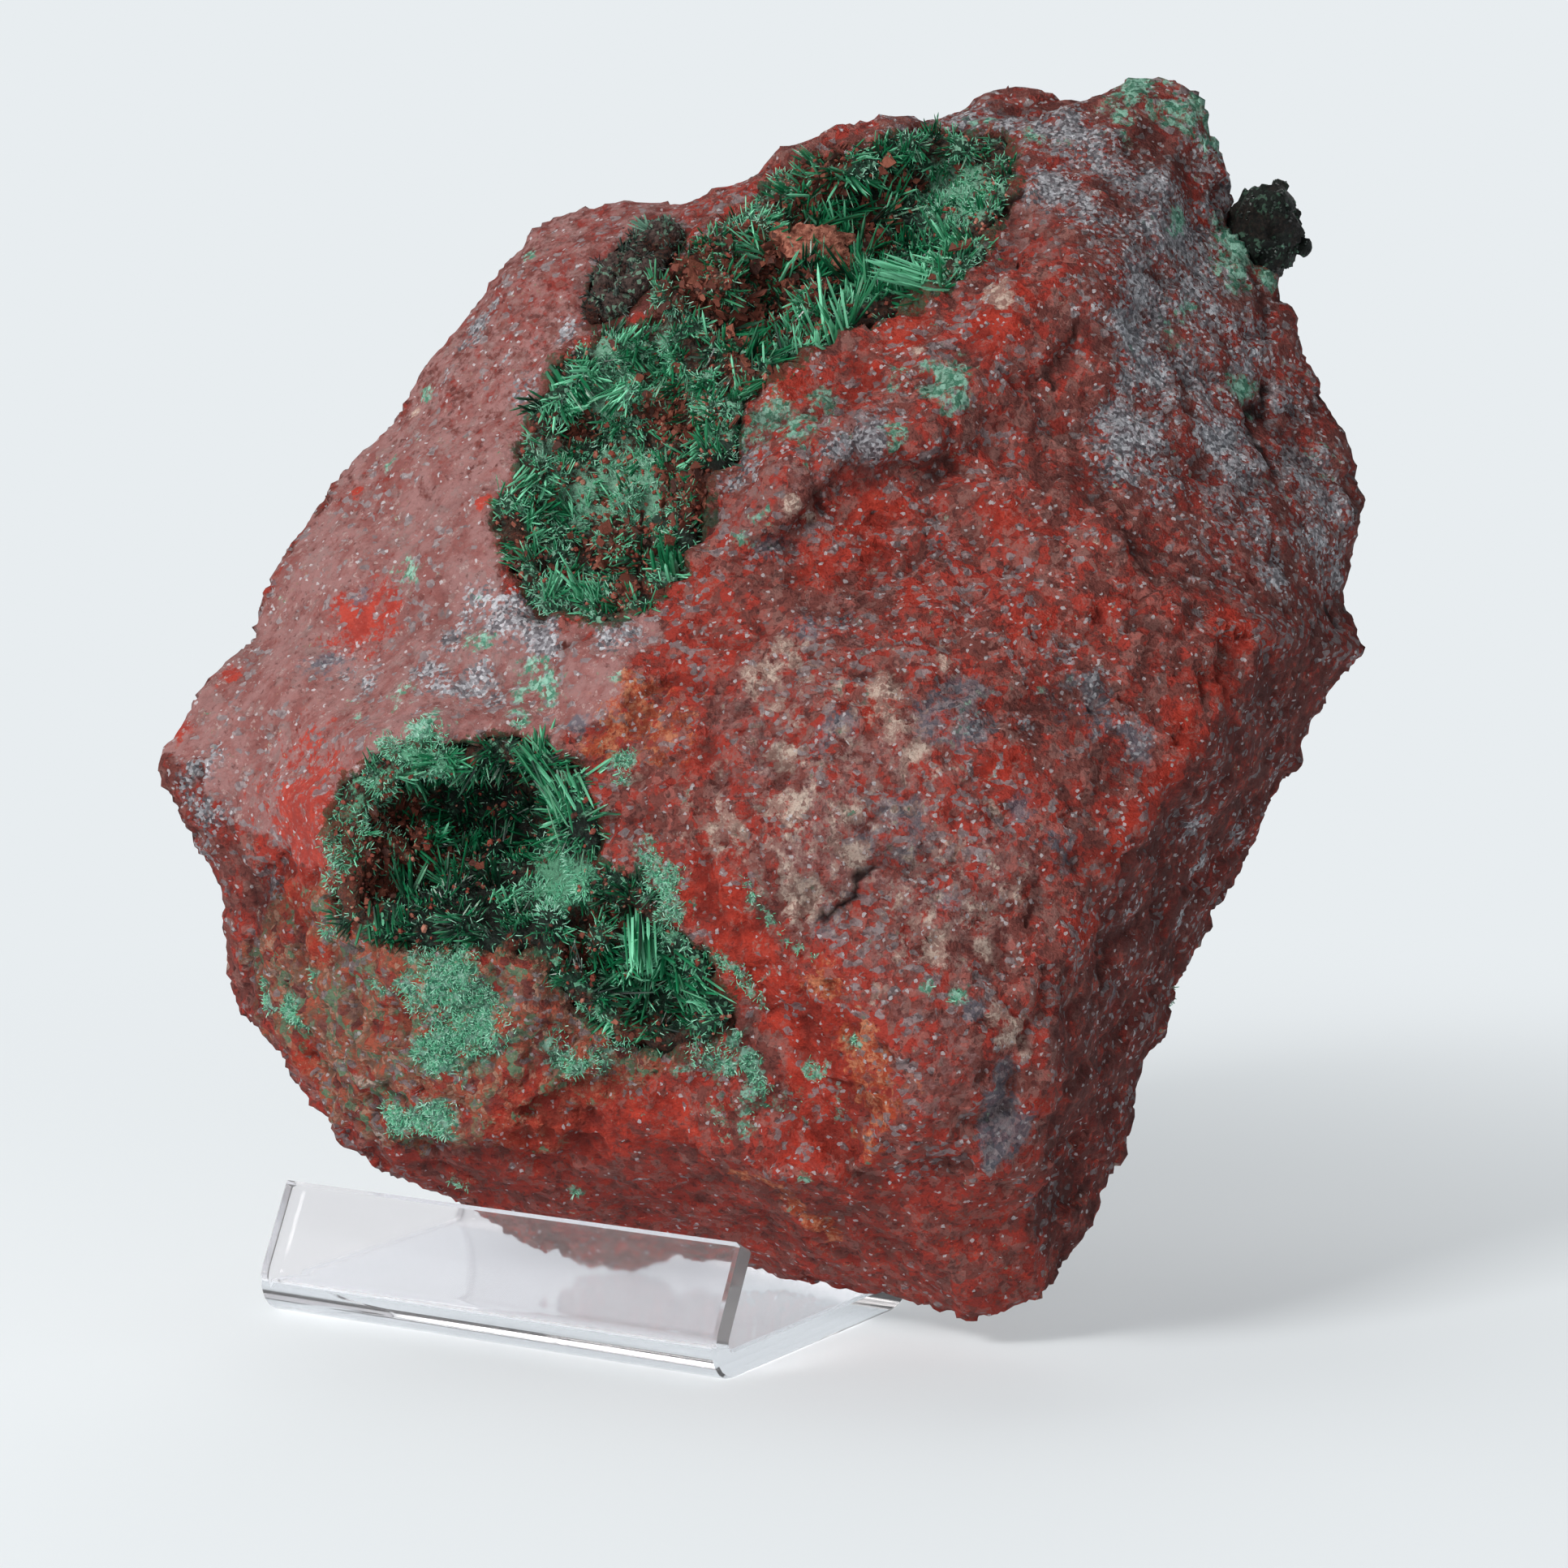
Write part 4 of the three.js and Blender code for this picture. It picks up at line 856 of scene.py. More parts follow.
def crust_bed(node, name, face, strength, chips, zones):
    """A crust, roughened by clumps and grit of that strength and by chips of that depth."""
    piece = even_skin(copy_of(node, name), face, 4)
    spots_at, outward = read_skin(piece)
    clump = clumps(spots_at)
    grit = each(spots_at, lambda p: noise.noise(p / 1.1) + 0.8 * noise.noise(p / 0.55))
    raised = strength * (0.5 + clump + 0.7 * grit) + chips * each(spots_at, lambda p: chip_height(p, 1.9))
    move_skin(piece, spots_at + outward * raised[:, None])
    bpy.ops.object.shade_smooth()
    h_at, v_at, _ = sight(spots_at)
    note(piece, "clump", np.clip(0.5 + 0.8 * clump + 0.3 * grit, 0.0, 1.0))
    for mark, seen in zones.items():
        note(piece, mark, zone(seen, h_at + grit, v_at - grit, 0.0))
    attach(piece, "root")
    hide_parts(node)
    return piece


upper_bed = crust_bed("upper_crystals", "upper_crust", 0.42, 0.6, 0.2,
                      {"pale": UPPER_PALE, "rusty": UPPER_RUSTY, "deep": UPPER_DEEP})
lower_bed = crust_bed("lower_crystals", "lower_crust", 0.42, 0.5, 0.2,
                      {"pale": LOWER_PALE, "rusty": LOWER_RUSTY, "deep": LOWER_DEEP})
seam_bed = crust_bed("seam_crystals", "seam_crust", 0.3, 0.4, 0.6, {})
knob_bed = crust_bed("edge_crystals", "edge_crust", 0.3, 0.08, 0.8, {})


# %% [markdown]
# In the seam the crystals fill the gap up to the rock on both sides, so that crust swells a little.

# %% The seam's crust swells
seam_at, seam_out = read_skin(seam_bed)
move_skin(seam_bed, seam_at + 0.35 * seam_out)

# %% [markdown]
# One finish serves all four crusts: fine crumbs of two or three colours, painted shade in black and dark
# brown where the crust lies low between its clumps, partly the crust's own brown, and pale, rusty or deep
# green where its marks say so.

# %% The finish of the crusts
RUST = srgb(108, 48, 32)
DEEP = srgb(10, 18, 13)


def crust_finish(name, low, middle, high, rust, gaps, sheen, gloss):
    finish = Finish(name)
    fine = finish.noise(0.35, 4.0, 0.7)
    patchy = finish.noise(1.8, 3.0, 0.6)
    height, chance, _ = finish.facets(0.35)
    colour = finish.mix(finish.step(fine, 0.35, 0.6), low, middle)
    colour = finish.mix(finish.step(chance + patchy * 0.4, 0.95, 1.1), colour, high)
    # Painted shade: where the crust lies low between its clumps it turns black or dark brown; the brown is
    # partly the crust's own colour.
    gap_shade = finish.step(0.62 - finish.attribute("clump") + (patchy - 0.5) * 0.5, 0.0, 0.3)
    colour = finish.mix(gap_shade * 0.9, colour, finish.mix(finish.step(fine, 0.4, 0.6), *gaps))
    torn = (patchy * 0.6 + fine * 0.4 - 0.5) * 3.2 + 0.5
    colour = finish.mix(finish.step(finish.attribute("pale") * 1.2 - torn, 0.0, 0.4), colour, high)
    colour = finish.mix(finish.step(finish.attribute("deep") * 1.2 - torn, 0.0, 0.4) * 0.9, colour, DEEP)
    colour = finish.mix(finish.step(finish.attribute("rusty") * 1.2 + 0.12 - torn, 0.0, 0.3) * 0.9, colour,
                        finish.mix(finish.step(fine, 0.4, 0.62), rust, srgb(64, 32, 24)))
    return finish.surface({
        "Base Color": colour,
        "Roughness": sheen + chance * 0.3,
        "Specular IOR Level": gloss,
        "Normal": finish.bump(height * 0.8 + fine * 0.4),
    })


BROWN_CRUST_AND_GAP_SHADE = (srgb(20, 13, 10), srgb(70, 32, 22))
BLACK_GAP_SHADE = (srgb(5, 5, 5), srgb(34, 26, 22))
upper_bed.data.materials.append(crust_finish(
    "upper_crust_finish", srgb(8, 22, 15), srgb(32, 72, 52), srgb(118, 166, 142), RUST, BROWN_CRUST_AND_GAP_SHADE,
    0.4, 0.3))
lower_bed.data.materials.append(crust_finish(
    "lower_crust_finish", srgb(6, 18, 13), srgb(22, 58, 42), srgb(96, 156, 126), RUST, BROWN_CRUST_AND_GAP_SHADE,
    0.4, 0.3))
seam_bed.data.materials.append(crust_finish(
    "seam_crust_finish", srgb(28, 20, 18), srgb(82, 65, 61), srgb(104, 134, 116), srgb(84, 46, 38),
    BROWN_CRUST_AND_GAP_SHADE, 0.5, 0.2))
knob_bed.data.materials.append(crust_finish(
    "edge_crust_finish", srgb(5, 7, 6), srgb(18, 26, 21), srgb(58, 84, 70), srgb(40, 32, 28), BLACK_GAP_SHADE,
    0.45, 0.2))

# %% [markdown]
# One needle is modelled once: a four-sided prism whose top is drawn out to a point, 14 triangles in all.
# Its length and width are 1, so each copy is simply stretched to its own.

# %% One needle
def into_triangles():
    """Cuts every face of the active piece into triangles."""
    bpy.ops.object.mode_set(mode="EDIT")
    bpy.ops.mesh.select_all(action="SELECT")
    bpy.ops.mesh.quads_convert_to_tris()
    bpy.ops.object.mode_set(mode="OBJECT")


needle = start_from(bpy.ops.mesh.primitive_cylinder_add, "needle", vertices=4, radius=0.5, depth=0.8,
                    location=(0, 0, 0.4))
bpy.ops.object.transform_apply(location=True, rotation=True, scale=True)
bpy.ops.object.mode_set(mode="EDIT")
bpy.ops.mesh.select_mode(type="FACE")
bpy.ops.mesh.select_all(action="DESELECT")
bpy.ops.object.mode_set(mode="OBJECT")
for face in needle.data.polygons:
    face.select = face.normal.z > 0.9
bpy.ops.object.mode_set(mode="EDIT")
bpy.ops.mesh.extrude_region_move(TRANSFORM_OT_translate={"value": (0, 0, 0.2)})
bpy.ops.mesh.merge(type="CENTER")
into_triangles()
print("a needle has", len(needle.data.polygons), "triangles")


def template(piece):
    """The points and triangles of a modelled shape, to copy many times. The shape itself is removed."""
    points = np.array([tuple(p.co) for p in piece.data.vertices])
    faces = np.array([tuple(f.vertices) for f in piece.data.polygons])
    bpy.data.objects.remove(piece)
    return points, faces


NEEDLE = template(needle)

# %% [markdown]
# A crumb of stone is an icosahedron pulled out of shape, and a flake of rust is a thin crooked plate.
# They fill in between the needles, as on the real specimen.

# %% One crumb and one flake
def crooked(piece, amount, flat):
    """Pulls a small shape out of true and flattens it."""
    for point in piece.data.vertices:
        shift = noise.noise_vector(point.co * 3.1 + Vector((0.4, 1.7, 2.2)))
        point.co += shift * amount
        point.co.z *= flat
    return piece


crumb = start_from(bpy.ops.mesh.primitive_ico_sphere_add, "crumb", subdivisions=1, radius=0.5)
CRUMB = template(crooked(crumb, 0.25, 0.8))
flake = start_from(bpy.ops.mesh.primitive_cylinder_add, "flake", vertices=6, radius=0.5, depth=0.4,
                   end_fill_type="TRIFAN")
into_triangles()
FLAKE = template(crooked(flake, 0.62, 0.3))
print("a crumb has", len(CRUMB[1]), "triangles, a flake", len(FLAKE[1]))

# %% [markdown]
# Copies are joined into one piece with numpy, because a few thousand separate objects would be slow.
# Each copy keeps a tone, so that no two neighbours need be the same green, and how far each point is
# from the root. Places for them are drawn at random from the faces, by area and by a chance for each face.

# %% Many copies in one piece
luck = np.random.default_rng(SEED)


def unit(vectors):
    return vectors / np.maximum(np.linalg.norm(vectors, axis=-1, keepdims=True), 1e-9)


def copies(name, shape, roots, ways, lengths, widths, tones, body_node, slot_name, material):
    """One piece of many copies of a shape: each stands at its root and points its own way."""
    points, faces = shape
    count = len(roots)
    ways = unit(ways)
    side = unit(np.cross(ways, unit(luck.normal(size=(count, 3)))))
    across = np.cross(ways, side)
    wide = np.broadcast_to(widths, (count,))[:, None, None]
    made = (roots[:, None, :]
            + side[:, None, :] * points[None, :, 0, None] * wide
            + across[:, None, :] * points[None, :, 1, None] * wide
            + ways[:, None, :] * points[None, :, 2, None] * lengths[:, None, None])
    joined = (faces[None, :, :] + np.arange(count)[:, None, None] * len(points)).reshape(-1, 3)
    mesh = bpy.data.meshes.new(name)
    mesh.from_pydata((made.reshape(-1, 3) * MM).tolist(), [], joined.tolist())
    piece = bpy.data.objects.new(name, mesh)
    bpy.context.scene.collection.objects.link(piece)
    note(piece, "tone", np.repeat(tones, len(points)))
    note(piece, "along", np.tile(points[:, 2], count))
    mesh.materials.append(material)
    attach(piece, "root")
    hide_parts(body_node)
    print(name, "has", count, "copies and", len(joined), "triangles")
    return piece


def scatter(piece, count, weigh):
    """Random places on a piece with their normals. weigh gives each face's chance per square millimetre."""
    data = piece.data
    data.calc_loop_triangles()
    corners = np.array([tuple(t.vertices) for t in data.loop_triangles])
    spots_at, outward = read_skin(piece)
    a, b, c = (spots_at[corners[:, i]] for i in range(3))
    crossed = np.cross(b - a, c - a)
    area = np.linalg.norm(crossed, axis=1) / 2
    chances = area * weigh((a + b + c) / 3, unit(crossed), corners)
    picked = luck.choice(len(area), size=count, p=chances / chances.sum())
    u, w = luck.random(count), luck.random(count)
    over = u + w > 1
    u[over], w[over] = 1 - u[over], 1 - w[over]
    found_at = a[picked] + (b - a)[picked] * u[:, None] + (c - a)[picked] * w[:, None]
    return found_at, unit(crossed)[picked]


def open_above(places_at, ways, reach):
    """True where nothing of the rock stands within reach millimetres of a place, the way that it points."""
    free = []
    for place_at, way in zip(places_at, ways):
        start = Vector(place_at + way * 0.25) * MM
        free.append(rock_tree.ray_cast(start, Vector(way), reach * MM)[0] is None)
    return np.array(free)


# %% [markdown]
# The needles stand in sprays: about ten share a root and fan out, and the sprays lean every way. So a
# spray has one root, one direction and one length, and its needles differ a little from them. Dark and
# pale zones are noted as spots of the front view, and so is where the crust is bare.

# %% How needles stand together
TURNED_AWAY = -80


def near_front(middle, normal, corners):
    """Equal chances for all faces that the front view could see."""
    return (((eye - middle) * normal).sum(1) > TURNED_AWAY).astype(float)


def by_zones(zones, start):
    """Chances that follow spots of h, v, radius and value over a starting value."""
    def weigh(middle, normal, corners):
        h_at, v_at, _ = sight(middle)
        return zone(zones, h_at, v_at, start) * near_front(middle, normal, corners)
    return weigh


def sprays(bed, count, per_spray, length, width, fan, tone_zones, length_zones, bare_zones, base_tone):
    """Roots, ways, lengths, widths and tones of needles that stand in sprays on a crust."""
    centres, outward = scatter(bed, count * 3, near_front)
    standing = clumps(centres)
    h_at, v_at, _ = sight(centres)
    kept = open_above(centres, outward, 2.5) & (standing > luck.uniform(-0.9, 0.35, len(centres)))
    kept &= luck.random(len(centres)) > zone(bare_zones, h_at, v_at, 0.0)
    centres, outward, standing = centres[kept][:count], outward[kept][:count], standing[kept][:count]
    count = len(centres)
    swirl = each(centres, lambda p: noise.noise_vector(p / 2.6))
    lean = unit(outward + 1.3 * swirl + 0.3 * luck.normal(size=(count, 3)))
    roots = np.repeat(centres, per_spray, axis=0)
    ways = np.repeat(lean, per_spray, axis=0)
    fans = np.repeat(fan * (0.4 + luck.random(count)), per_spray)
    ways = unit(ways + fans[:, None] * luck.normal(size=(count * per_spray, 3)))
    h_at, v_at, _ = sight(centres)
    stretch = zone(length_zones, h_at, v_at, 1.0)
    long = np.repeat(length * stretch * np.exp(0.35 * luck.normal(size=count)), per_spray)
    long = long * luck.uniform(0.5, 1.1, len(long))
    wide = width * luck.uniform(0.6, 1.6, len(long)) * np.clip(np.sqrt(long / 1.6), 0.7, 1.7)
    tone = zone(tone_zones, h_at, v_at, base_tone) + 0.2 * luck.normal(size=count) + 0.18 * standing
    tones = np.clip(np.repeat(tone, per_spray) + 0.14 * luck.normal(size=len(long)), 0.0, 1.0)
    roots = roots + min(0.3, 0.2 * length) * luck.normal(size=roots.shape)
    roots = roots - min(0.2, 0.25 * length) * np.repeat(outward, per_spray, axis=0)
    return roots, ways, long, wide, tones


def bundle(bed, seen, way, count, length, width, spread, fan, tone):
    """Long needles side by side: where their roots are seen, and which way they run in the front view."""
    spots_at, _ = read_skin(bed)
    root = seen_point(*seen, spots_at, *sight(spots_at))
    direction = unit(way[0] * right + way[1] * up - way[2] * ahead)
    roots = root + luck.normal(size=(count, 3)) * spread
    ways = unit(direction + fan * luck.normal(size=(count, 3)))
    long = length * luck.uniform(0.6, 1.05, count)
    wide = width * luck.uniform(0.6, 1.5, count)
    return roots, ways, long, wide, np.clip(tone + 0.2 * luck.normal(size=count), 0, 1)


def together(parts):
    """Several lots of needles as one."""
    return [np.concatenate(columns) for columns in zip(*parts)]


def needle_finish(name, deep, body, pale, gloss):
    """Glassy green: deep at the root, paler to the tip, with a tone of its own for each needle."""
    finish = Finish(name)
    tone = finish.attribute("tone")
    along = finish.attribute("along")
    colour = finish.mix(finish.step(tone + along * 0.35, 0.1, 0.7), deep, body)
    colour = finish.mix(finish.step(tone + along * 0.2, 0.62, 1.1), colour, pale)
    return finish.surface({
        "Base Color": colour,
        "Roughness": 0.32 + tone * gloss,
        "Specular IOR Level": 0.5,
        "IOR": 1.6,
    })


# %% [markdown]
# The needles of the two hollows and of the dark seam and knob are placed now. Each row of a table of
# bundles says where its root is seen, which way it runs (right, up and towards the viewer), how many
# needles it has, their length and width, how far the roots and the tips spread, and its tone.

# %% Needles in the hollows
emerald = needle_finish("emerald_needles", srgb(2, 26, 17), srgb(8, 112, 70), srgb(122, 212, 170), 0.25)
pale_felt = needle_finish("pale_felt", srgb(34, 92, 66), srgb(90, 176, 138), srgb(176, 226, 204), 0.5)

UPPER_TONES = [
    (-12, 29, 6, 0.6), (-17, 24, 5, 0.65), (-14, 17, 5, 0.6), (-8, 20, 4, 0.4), (-10, 26, 2.6, 0.4),
    (-5, 24.5, 2.6, 0.2), (-4, 33, 4, 0.35), (5, 42, 5, 0.22), (10, 43, 4, 0.22), (14, 46, 3, 0.4),
    (15, 42, 2.6, 0.5), (4, 36, 3, 0.7), (11, 38, 3, 0.7), (2, 48, 5, 0.4), (-16, 31, 3, 0.6),
    (-3, 38, 3, 0.15),
]
UPPER_LENGTHS = [
    (-17, 31, 3, 1.6), (5, 36, 3, 1.7), (10, 38, 3, 1.7), (4, 42, 5, 1.6), (-12, 24, 8, 0.8),
    (14, 47, 4, 0.5),
]
UPPER_BARE = [
    (-7, 38, 3, 0.7), (-2, 37, 2.4, 0.6), (-6, 23, 2.2, 0.6), (2, 42, 2, 0.5), (-12, 20, 5, 0.45),
    (-15, 27, 3, 0.35), (7, 44, 4, 0.3),
]
UPPER_BUNDLES = [
    ((-18, 32.5), (0.6, -0.9, 0.5), 60, 4.6, 0.3, 0.55, 0.06, 0.35),
    ((4.5, 35), (-0.2, 1.0, 0.7), 26, 5.0, 0.24, 0.6, 0.2, 0.75),
    ((2, 33.5), (-0.2, 1.0, 0.8), 30, 3.2, 0.22, 0.8, 0.3, 0.8),
    ((-1, 31.5), (-0.3, 1.0, 0.9), 30, 2.8, 0.22, 0.8, 0.3, 0.75),
    ((13, 39), (-1.0, 0.2, 0.5), 36, 8.0, 0.24, 0.4, 0.06, 0.85),
    ((12.5, 38), (-0.9, -0.1, 0.9), 24, 4.5, 0.2, 0.6, 0.2, 0.7),
    ((5, 43), (-0.2, 0.9, 0.9), 24, 4.0, 0.18, 0.9, 0.4, 0.6),
    ((8, 46), (0.5, 0.6, 0.9), 24, 3.6, 0.18, 0.9, 0.4, 0.55),
    ((2, 47), (-0.7, 0.3, 0.8), 24, 3.6, 0.18, 0.9, 0.4, 0.6),
    ((-2, 43), (-0.9, 0.2, 0.8), 20, 4.0, 0.2, 0.7, 0.2, 0.7),
    ((-20, 24), (-0.5, -0.6, 0.8), 30, 2.6, 0.18, 0.6, 0.25, 0.75),
    ((-9, 17), (-0.2, 1.0, 0.8), 30, 2.6, 0.24, 0.6, 0.12, 0.4),
    ((-7.5, 27), (-0.6, -0.4, 0.8), 26, 2.6, 0.18, 0.6, 0.3, 0.8),
]
upper = together([
    sprays(upper_bed, 760, 10, 1.7, 0.125, 0.3, UPPER_TONES, UPPER_LENGTHS, UPPER_BARE, 0.34),
    *[bundle(upper_bed, *row) for row in UPPER_BUNDLES],
])
copies("upper_needles", NEEDLE, *upper, "upper_crystals", "green_crystals", emerald)
LOWER_TONES = [
    (-25, -7, 8, 0.15), (-24, -11, 4, 0.05), (-30, -9, 4, 0.15), (-18, -9, 3, 0.8), (-17, -7, 2.2, 0.85),
    (-16.5, 0, 3, 0.55), (-28, 2, 3, 0.45), (-33, -2, 3, 0.45), (-11, -15, 3, 0.5), (-7, -17, 3, 0.4),
    (-34, -7, 3, 0.35), (-20, -13, 2, 0.1), (-16, -13, 2, 0.15), (-12, -12, 2, 0.7),
]
LOWER_LENGTHS = [(-16, -1, 3, 1.1), (-12, -14, 2.4, 1.6), (-18, -8, 3, 0.4), (-33, -2, 3, 0.7)]
LOWER_BUNDLES = [
    ((-20, 2.5), (0.7, -0.9, 0.1), 70, 4.6, 0.18, 0.9, 0.12, 0.5),
    ((-17.5, 0), (0.4, -1.0, 0.1), 60, 4.0, 0.18, 0.8, 0.12, 0.55),
    ((-11.5, -10.5), (0.1, -1.0, 0.9), 50, 6.2, 0.24, 0.6, 0.05, 0.6),
    ((-9, -14), (0.5, -0.8, 0.8), 30, 3.0, 0.2, 0.8, 0.3, 0.5),
    ((-12, -17), (-0.6, -0.6, 0.8), 30, 3.4, 0.2, 0.8, 0.3, 0.45),
    ((-7, -17), (0.7, -0.5, 0.8), 30, 3.2, 0.2, 0.8, 0.3, 0.5),
    ((-22, -9), (0.4, 0.5, 0.9), 20, 2.6, 0.18, 0.7, 0.4, 0.95),
    ((-32, -10.5), (0.1, -0.9, 0.9), 30, 2.6, 0.22, 0.7, 0.1, 0.3),
    ((-28, -2), (0.3, -0.8, 0.9), 30, 2.6, 0.18, 0.9, 0.3, 0.5),
]
lower = together([
    sprays(lower_bed, 540, 10, 1.6, 0.13, 0.3, LOWER_TONES, LOWER_LENGTHS, LOWER_BARE, 0.2),
    *[bundle(lower_bed, *row) for row in LOWER_BUNDLES],
])
copies("lower_needles", NEEDLE, *lower, "lower_crystals", "green_crystals", emerald)
seam = sprays(seam_bed, 200, 6, 0.7, 0.13, 0.45, [(-9, 45, 3, 0.9), (-13, 40, 1.5, 0.5)], [],
              [(-13, 39, 2.5, 0.5)], 0.3)
dark_needles = needle_finish("dark_needles", srgb(4, 7, 6), srgb(16, 36, 28), srgb(80, 124, 104), 0.3)
copies("seam_needles", NEEDLE, *seam, "seam_crystals", "dark_crystals", dark_needles)
knob = sprays(knob_bed, 120, 5, 0.24, 0.2, 0.5, [], [], [], 0.2)
copies("edge_needles", NEEDLE, *knob, "edge_crystals", "dark_crystals", dark_needles)

# %% [markdown]
# Between the long needles grows a felt of very short ones, paler and greyer. It covers the clumps of the
# crust where the pale zones are, and leaves the gaps open.

# %% Felt of short needles
def felt(name, bed, node, count, zones, start):
    at, out = scatter(bed, count * 2, by_zones(zones, start))
    kept = clumps(at) > luck.uniform(-0.5, 0.3, len(at))
    at, out = at[kept][:count], out[kept][:count]
    ways = unit(out + 0.8 * luck.normal(size=at.shape))
    tones = np.clip(0.5 + 0.2 * clumps(at) + 0.18 * luck.normal(size=len(at)), 0.0, 1.0)
    return copies(name, NEEDLE, at - 0.1 * out, ways, luck.uniform(0.35, 0.9, len(at)), 0.08, tones, node,
                  "green_crystals", pale_felt)


felt("upper_felt", upper_bed, "upper_crystals", 11000, UPPER_PALE, 0.22)
felt("lower_felt", lower_bed, "lower_crystals", 7000, LOWER_PALE, 0.12)

# %% [markdown]
# Short green fur also grows on the open rock, wherever the green mark is strong: the velvet patch on the
# lower left, the mound between the hollows' lobes and the stains along the rims.

# %% Green fur on the rock
green_mark = found["green"]
rim_mark = near_crystals


def on_green(middle, normal, corners):
    strength = green_mark[corners].mean(1) + 0.04 * rim_mark[corners].mean(1) * facing[corners].mean(1)
    low_enough = v[corners].mean(1) < 5
    return np.clip(strength - 0.35, 0.0, 1.0) * low_enough


fur_at, fur_out = scatter(rock, 13000, on_green)
fur_ways = unit(fur_out + 0.7 * luck.normal(size=fur_out.shape))
fur_long = luck.uniform(0.25, 0.7, len(fur_at))
fur_tones = np.clip(0.6 + 0.18 * luck.normal(size=len(fur_at)), 0.0, 1.0)
copies("green_fur", NEEDLE, fur_at - 0.1 * fur_out, fur_ways, fur_long, 0.075, fur_tones,
       "matrix_rock", "green_crystals", pale_felt)

# %% [markdown]
# Crumbs of red rock lie all over the crusts, and rusty flakes are caught between the needles, most of
# them in the upper hollow.

# %% Crumbs and flakes
def crumb_finish(name, stops):
    finish = Finish(name)
    tone = finish.attribute("tone") + finish.noise(0.3, 2.0, 0.5) * 0.2 - 0.1
    colour = finish.mix(finish.step(tone, 0.1, 0.4), stops[0], stops[1])
    colour = finish.mix(finish.step(tone, 0.5, 0.9), colour, stops[2])
    return finish.surface({
        "Base Color": colour,
        "Roughness": 0.75,
        "Normal": finish.bump(finish.noise(0.2, 3.0, 0.6) * 0.1),
    })


red_crumbs = crumb_finish("red_crumbs", [srgb(82, 38, 29), srgb(128, 54, 39), srgb(172, 116, 98)])
rusty = crumb_finish("rusty_flakes", [srgb(62, 27, 17), srgb(102, 45, 29), srgb(142, 80, 61)])


def crumbs_on(name, bed, node, slot_name, count, size, zones, start):
    """Crumbs on a crust, most where the zones say so."""
    at, out = scatter(bed, count * 2, by_zones(zones, start))
    kept = open_above(at, out, 2.0)
    at, out = at[kept][:count], out[kept][:count]
    sizes = size * np.exp(0.4 * luck.normal(size=len(at)))
    tones = np.clip(0.45 + 0.25 * luck.normal(size=len(at)), 0.0, 1.0)
    return copies(name, CRUMB, at + 0.12 * out, out + 0.5 * luck.normal(size=at.shape), sizes, sizes,
                  tones, node, slot_name, red_crumbs)


crumbs_on("upper_crumbs", upper_bed, "upper_crystals", "matrix", 1700, 0.36,
          [(-12, 22, 7, 0.9), (-8, 29, 4, 0.9), (0, 40, 6, 0.6), (-5, 40, 3, 1), (8, 42, 3, 0.1)], 0.3)
crumbs_on("lower_crumbs", lower_bed, "lower_crystals", "matrix", 900, 0.32,
          [(-31, -4, 4, 0.9), (-25, -5, 5, 0.5), (-18, -8, 3, 0.0), (-24, -11, 3, 0.0)], 0.35)


def flakes_on(name, bed, node, count, size, zones):
    """Crooked rusty flakes that stand every way among the needles."""
    at, out = scatter(bed, count, by_zones(zones, 0.02))
    sizes = size * np.exp(0.5 * luck.normal(size=count))
    ways = out + 0.9 * luck.normal(size=at.shape)
    tones = np.clip(0.4 + 0.25 * luck.normal(size=count), 0.0, 1.0)
    return copies(name, FLAKE, at + out * luck.uniform(0.2, 1.2, count)[:, None], ways, sizes, sizes, tones,
                  node, "matrix", rusty)


flakes_on("upper_flakes", upper_bed, "upper_crystals", 1900, 0.44, UPPER_RUSTY)
flakes_on("lower_flakes", lower_bed, "lower_crystals", 300, 0.4, LOWER_RUSTY)

# %% [markdown]
# One large flake lies across the upper hollow: a curled plate of rusty stone with a pink top. It is a grid
# that a solidify modifier thickens. Its edge is torn by pulling the outer points in, and noise curls it.

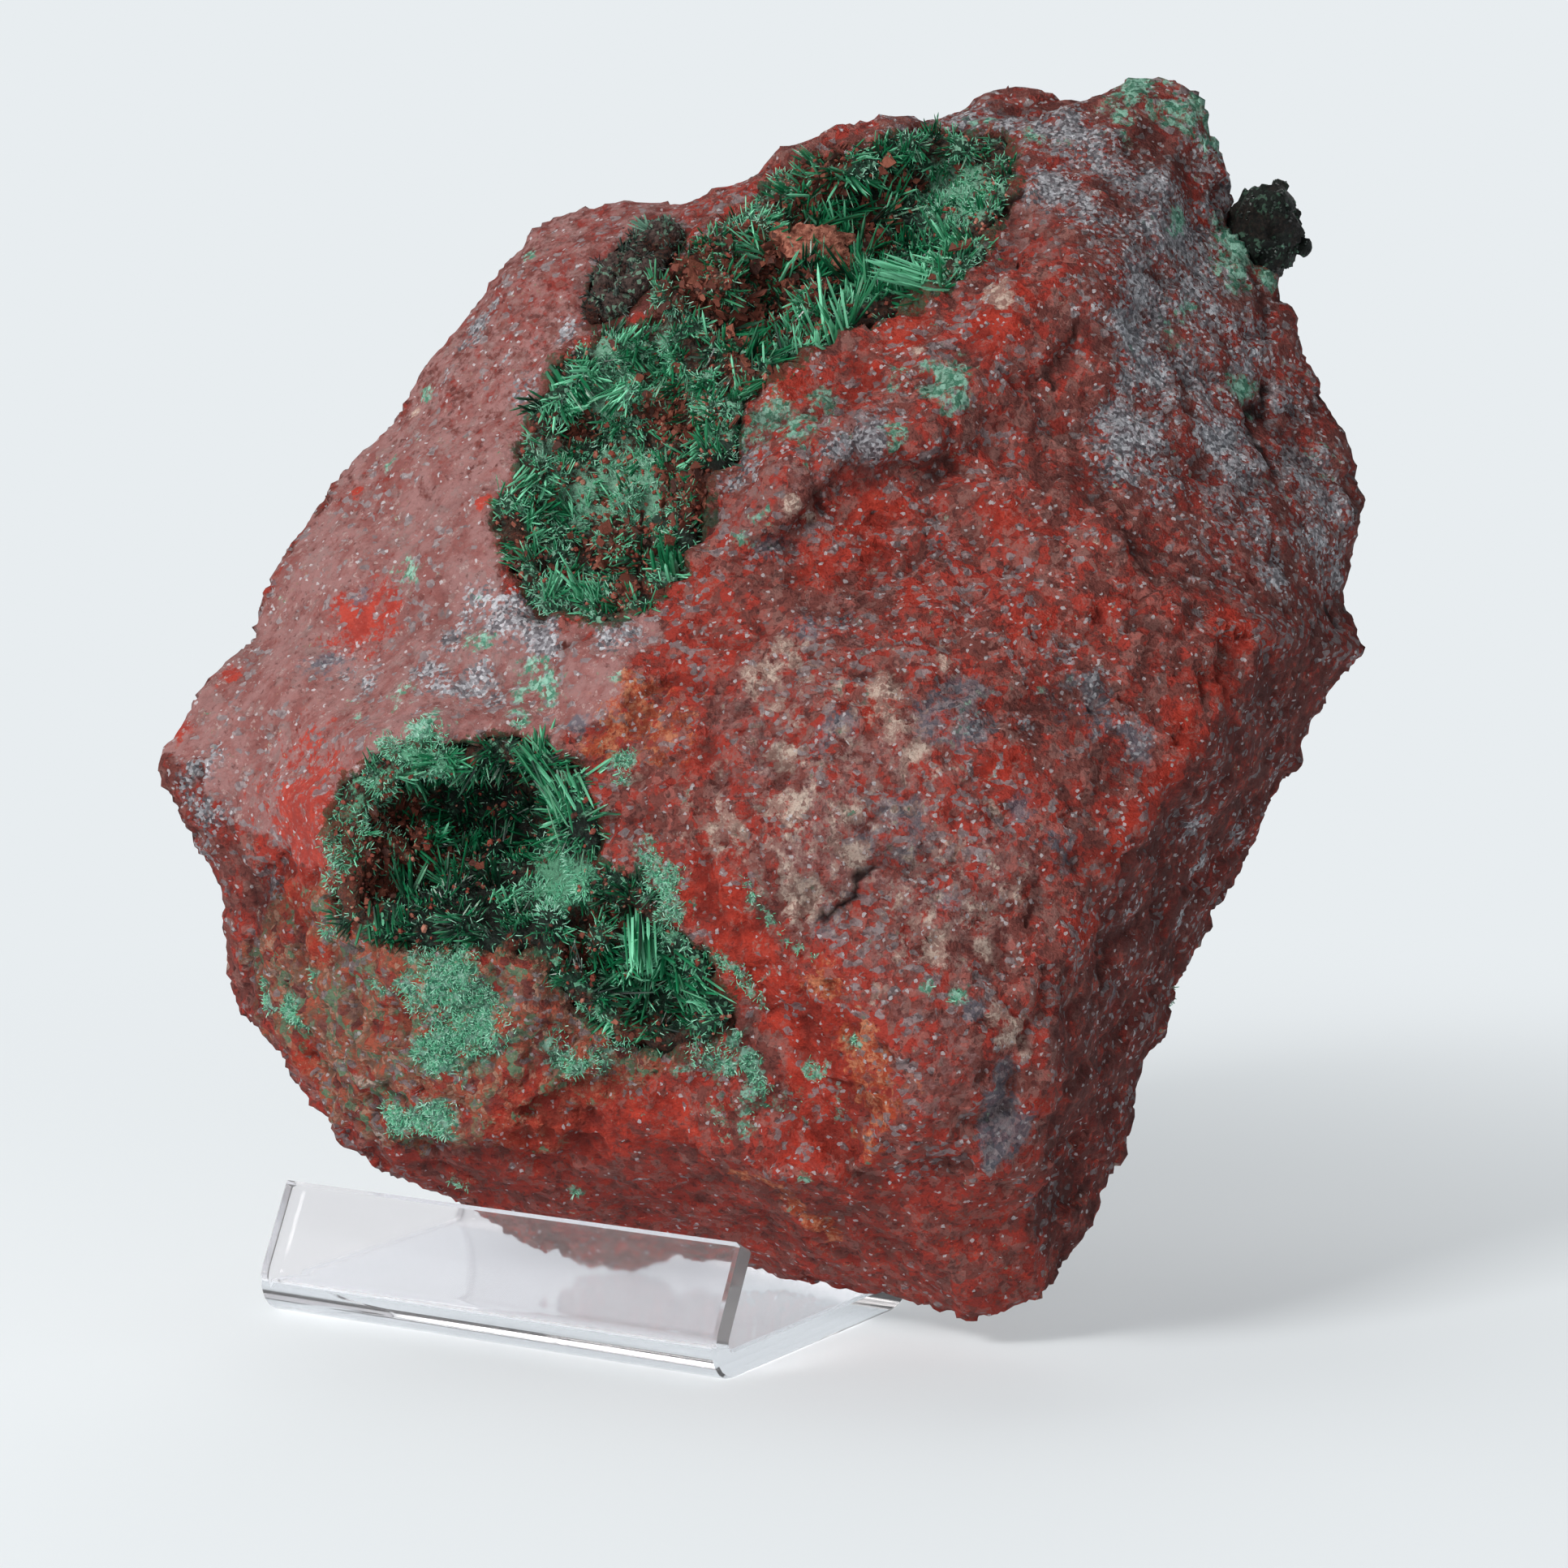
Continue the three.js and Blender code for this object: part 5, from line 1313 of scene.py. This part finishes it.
# %% The large curled flake
PLATE_LENGTH = 7.4
PLATE_WIDTH = 2.9
PLATE_STANDS_OUT = 2.6
plate = start_from(bpy.ops.mesh.primitive_grid_add, "rusty_plate",
                   x_subdivisions=30, y_subdivisions=14, size=1)
thicken = plate.modifiers.new("thicken", "SOLIDIFY")
thicken.thickness = 0.12
bpy.ops.object.modifier_apply(modifier=thicken.name)
spots_at, _ = read_skin(upper_bed)
plate_middle = seen_point(2.2, 42.6, spots_at, *sight(spots_at)) - PLATE_STANDS_OUT * ahead
for point in plate.data.vertices:
    x, y, z = point.co
    ragged = 1.0 + 0.36 * noise.noise(Vector((x * 7, y * 5, 3)))
    ragged += 0.2 * noise.noise(Vector((x * 19, y * 13, 8)))
    x, y = x * PLATE_LENGTH * ragged, y * PLATE_WIDTH * ragged
    curl = 0.55 * noise.noise(Vector((x * 0.8, y * 0.9, 1)))
    curl += 0.2 * noise.noise(Vector((x * 2.5, y * 2.5, 4)))
    height = z * 2 + curl - 0.09 * x * x + 0.35 * abs(y)
    place_at = plate_middle + (x + 0.2 * y) * right + (y - 0.16 * x + 0.3 * height) * up - height * ahead
    point.co = Vector(place_at) * MM
plate.data.update()
bpy.ops.object.shade_smooth()
plate_finish = Finish("rusty_plate_finish")
plate_noise = plate_finish.noise(0.5, 4.0, 0.65)
plate.data.materials.append(plate_finish.surface({
    "Base Color": plate_finish.mix(plate_finish.step(plate_noise, 0.38, 0.62),
                                   srgb(120, 58, 42), srgb(176, 112, 92)),
    "Roughness": 0.8,
    "Normal": plate_finish.bump(plate_noise * 0.3),
}))
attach(plate, "root")
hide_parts("upper_crystals")

# %% [markdown]
# The stand is a strip of clear acrylic, folded hot: a lip in front, a base and a sloping rest behind. The
# solid already has its bends and its small bevels, so its copy only needs merged points, smooth bends
# and a clear finish: light goes through it, bent as acrylic bends it.

# %% The clear stand
stand = copy_of("display_stand", "clear_stand")
bpy.ops.object.shade_smooth_by_angle(angle=math.radians(25))
acrylic = Finish("clear_acrylic")
haze = acrylic.noise(9.0, 3.0, 0.6)
stand.data.materials.append(acrylic.surface({
    "Base Color": srgb(240, 238, 240),
    "Roughness": 0.06 + acrylic.step(haze, 0.4, 0.8) * 0.07,
    "Transmission Weight": 0.96,
    "IOR": 1.42,
}))
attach(stand, "root")
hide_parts("display_stand")
stand.visible_shadow = False
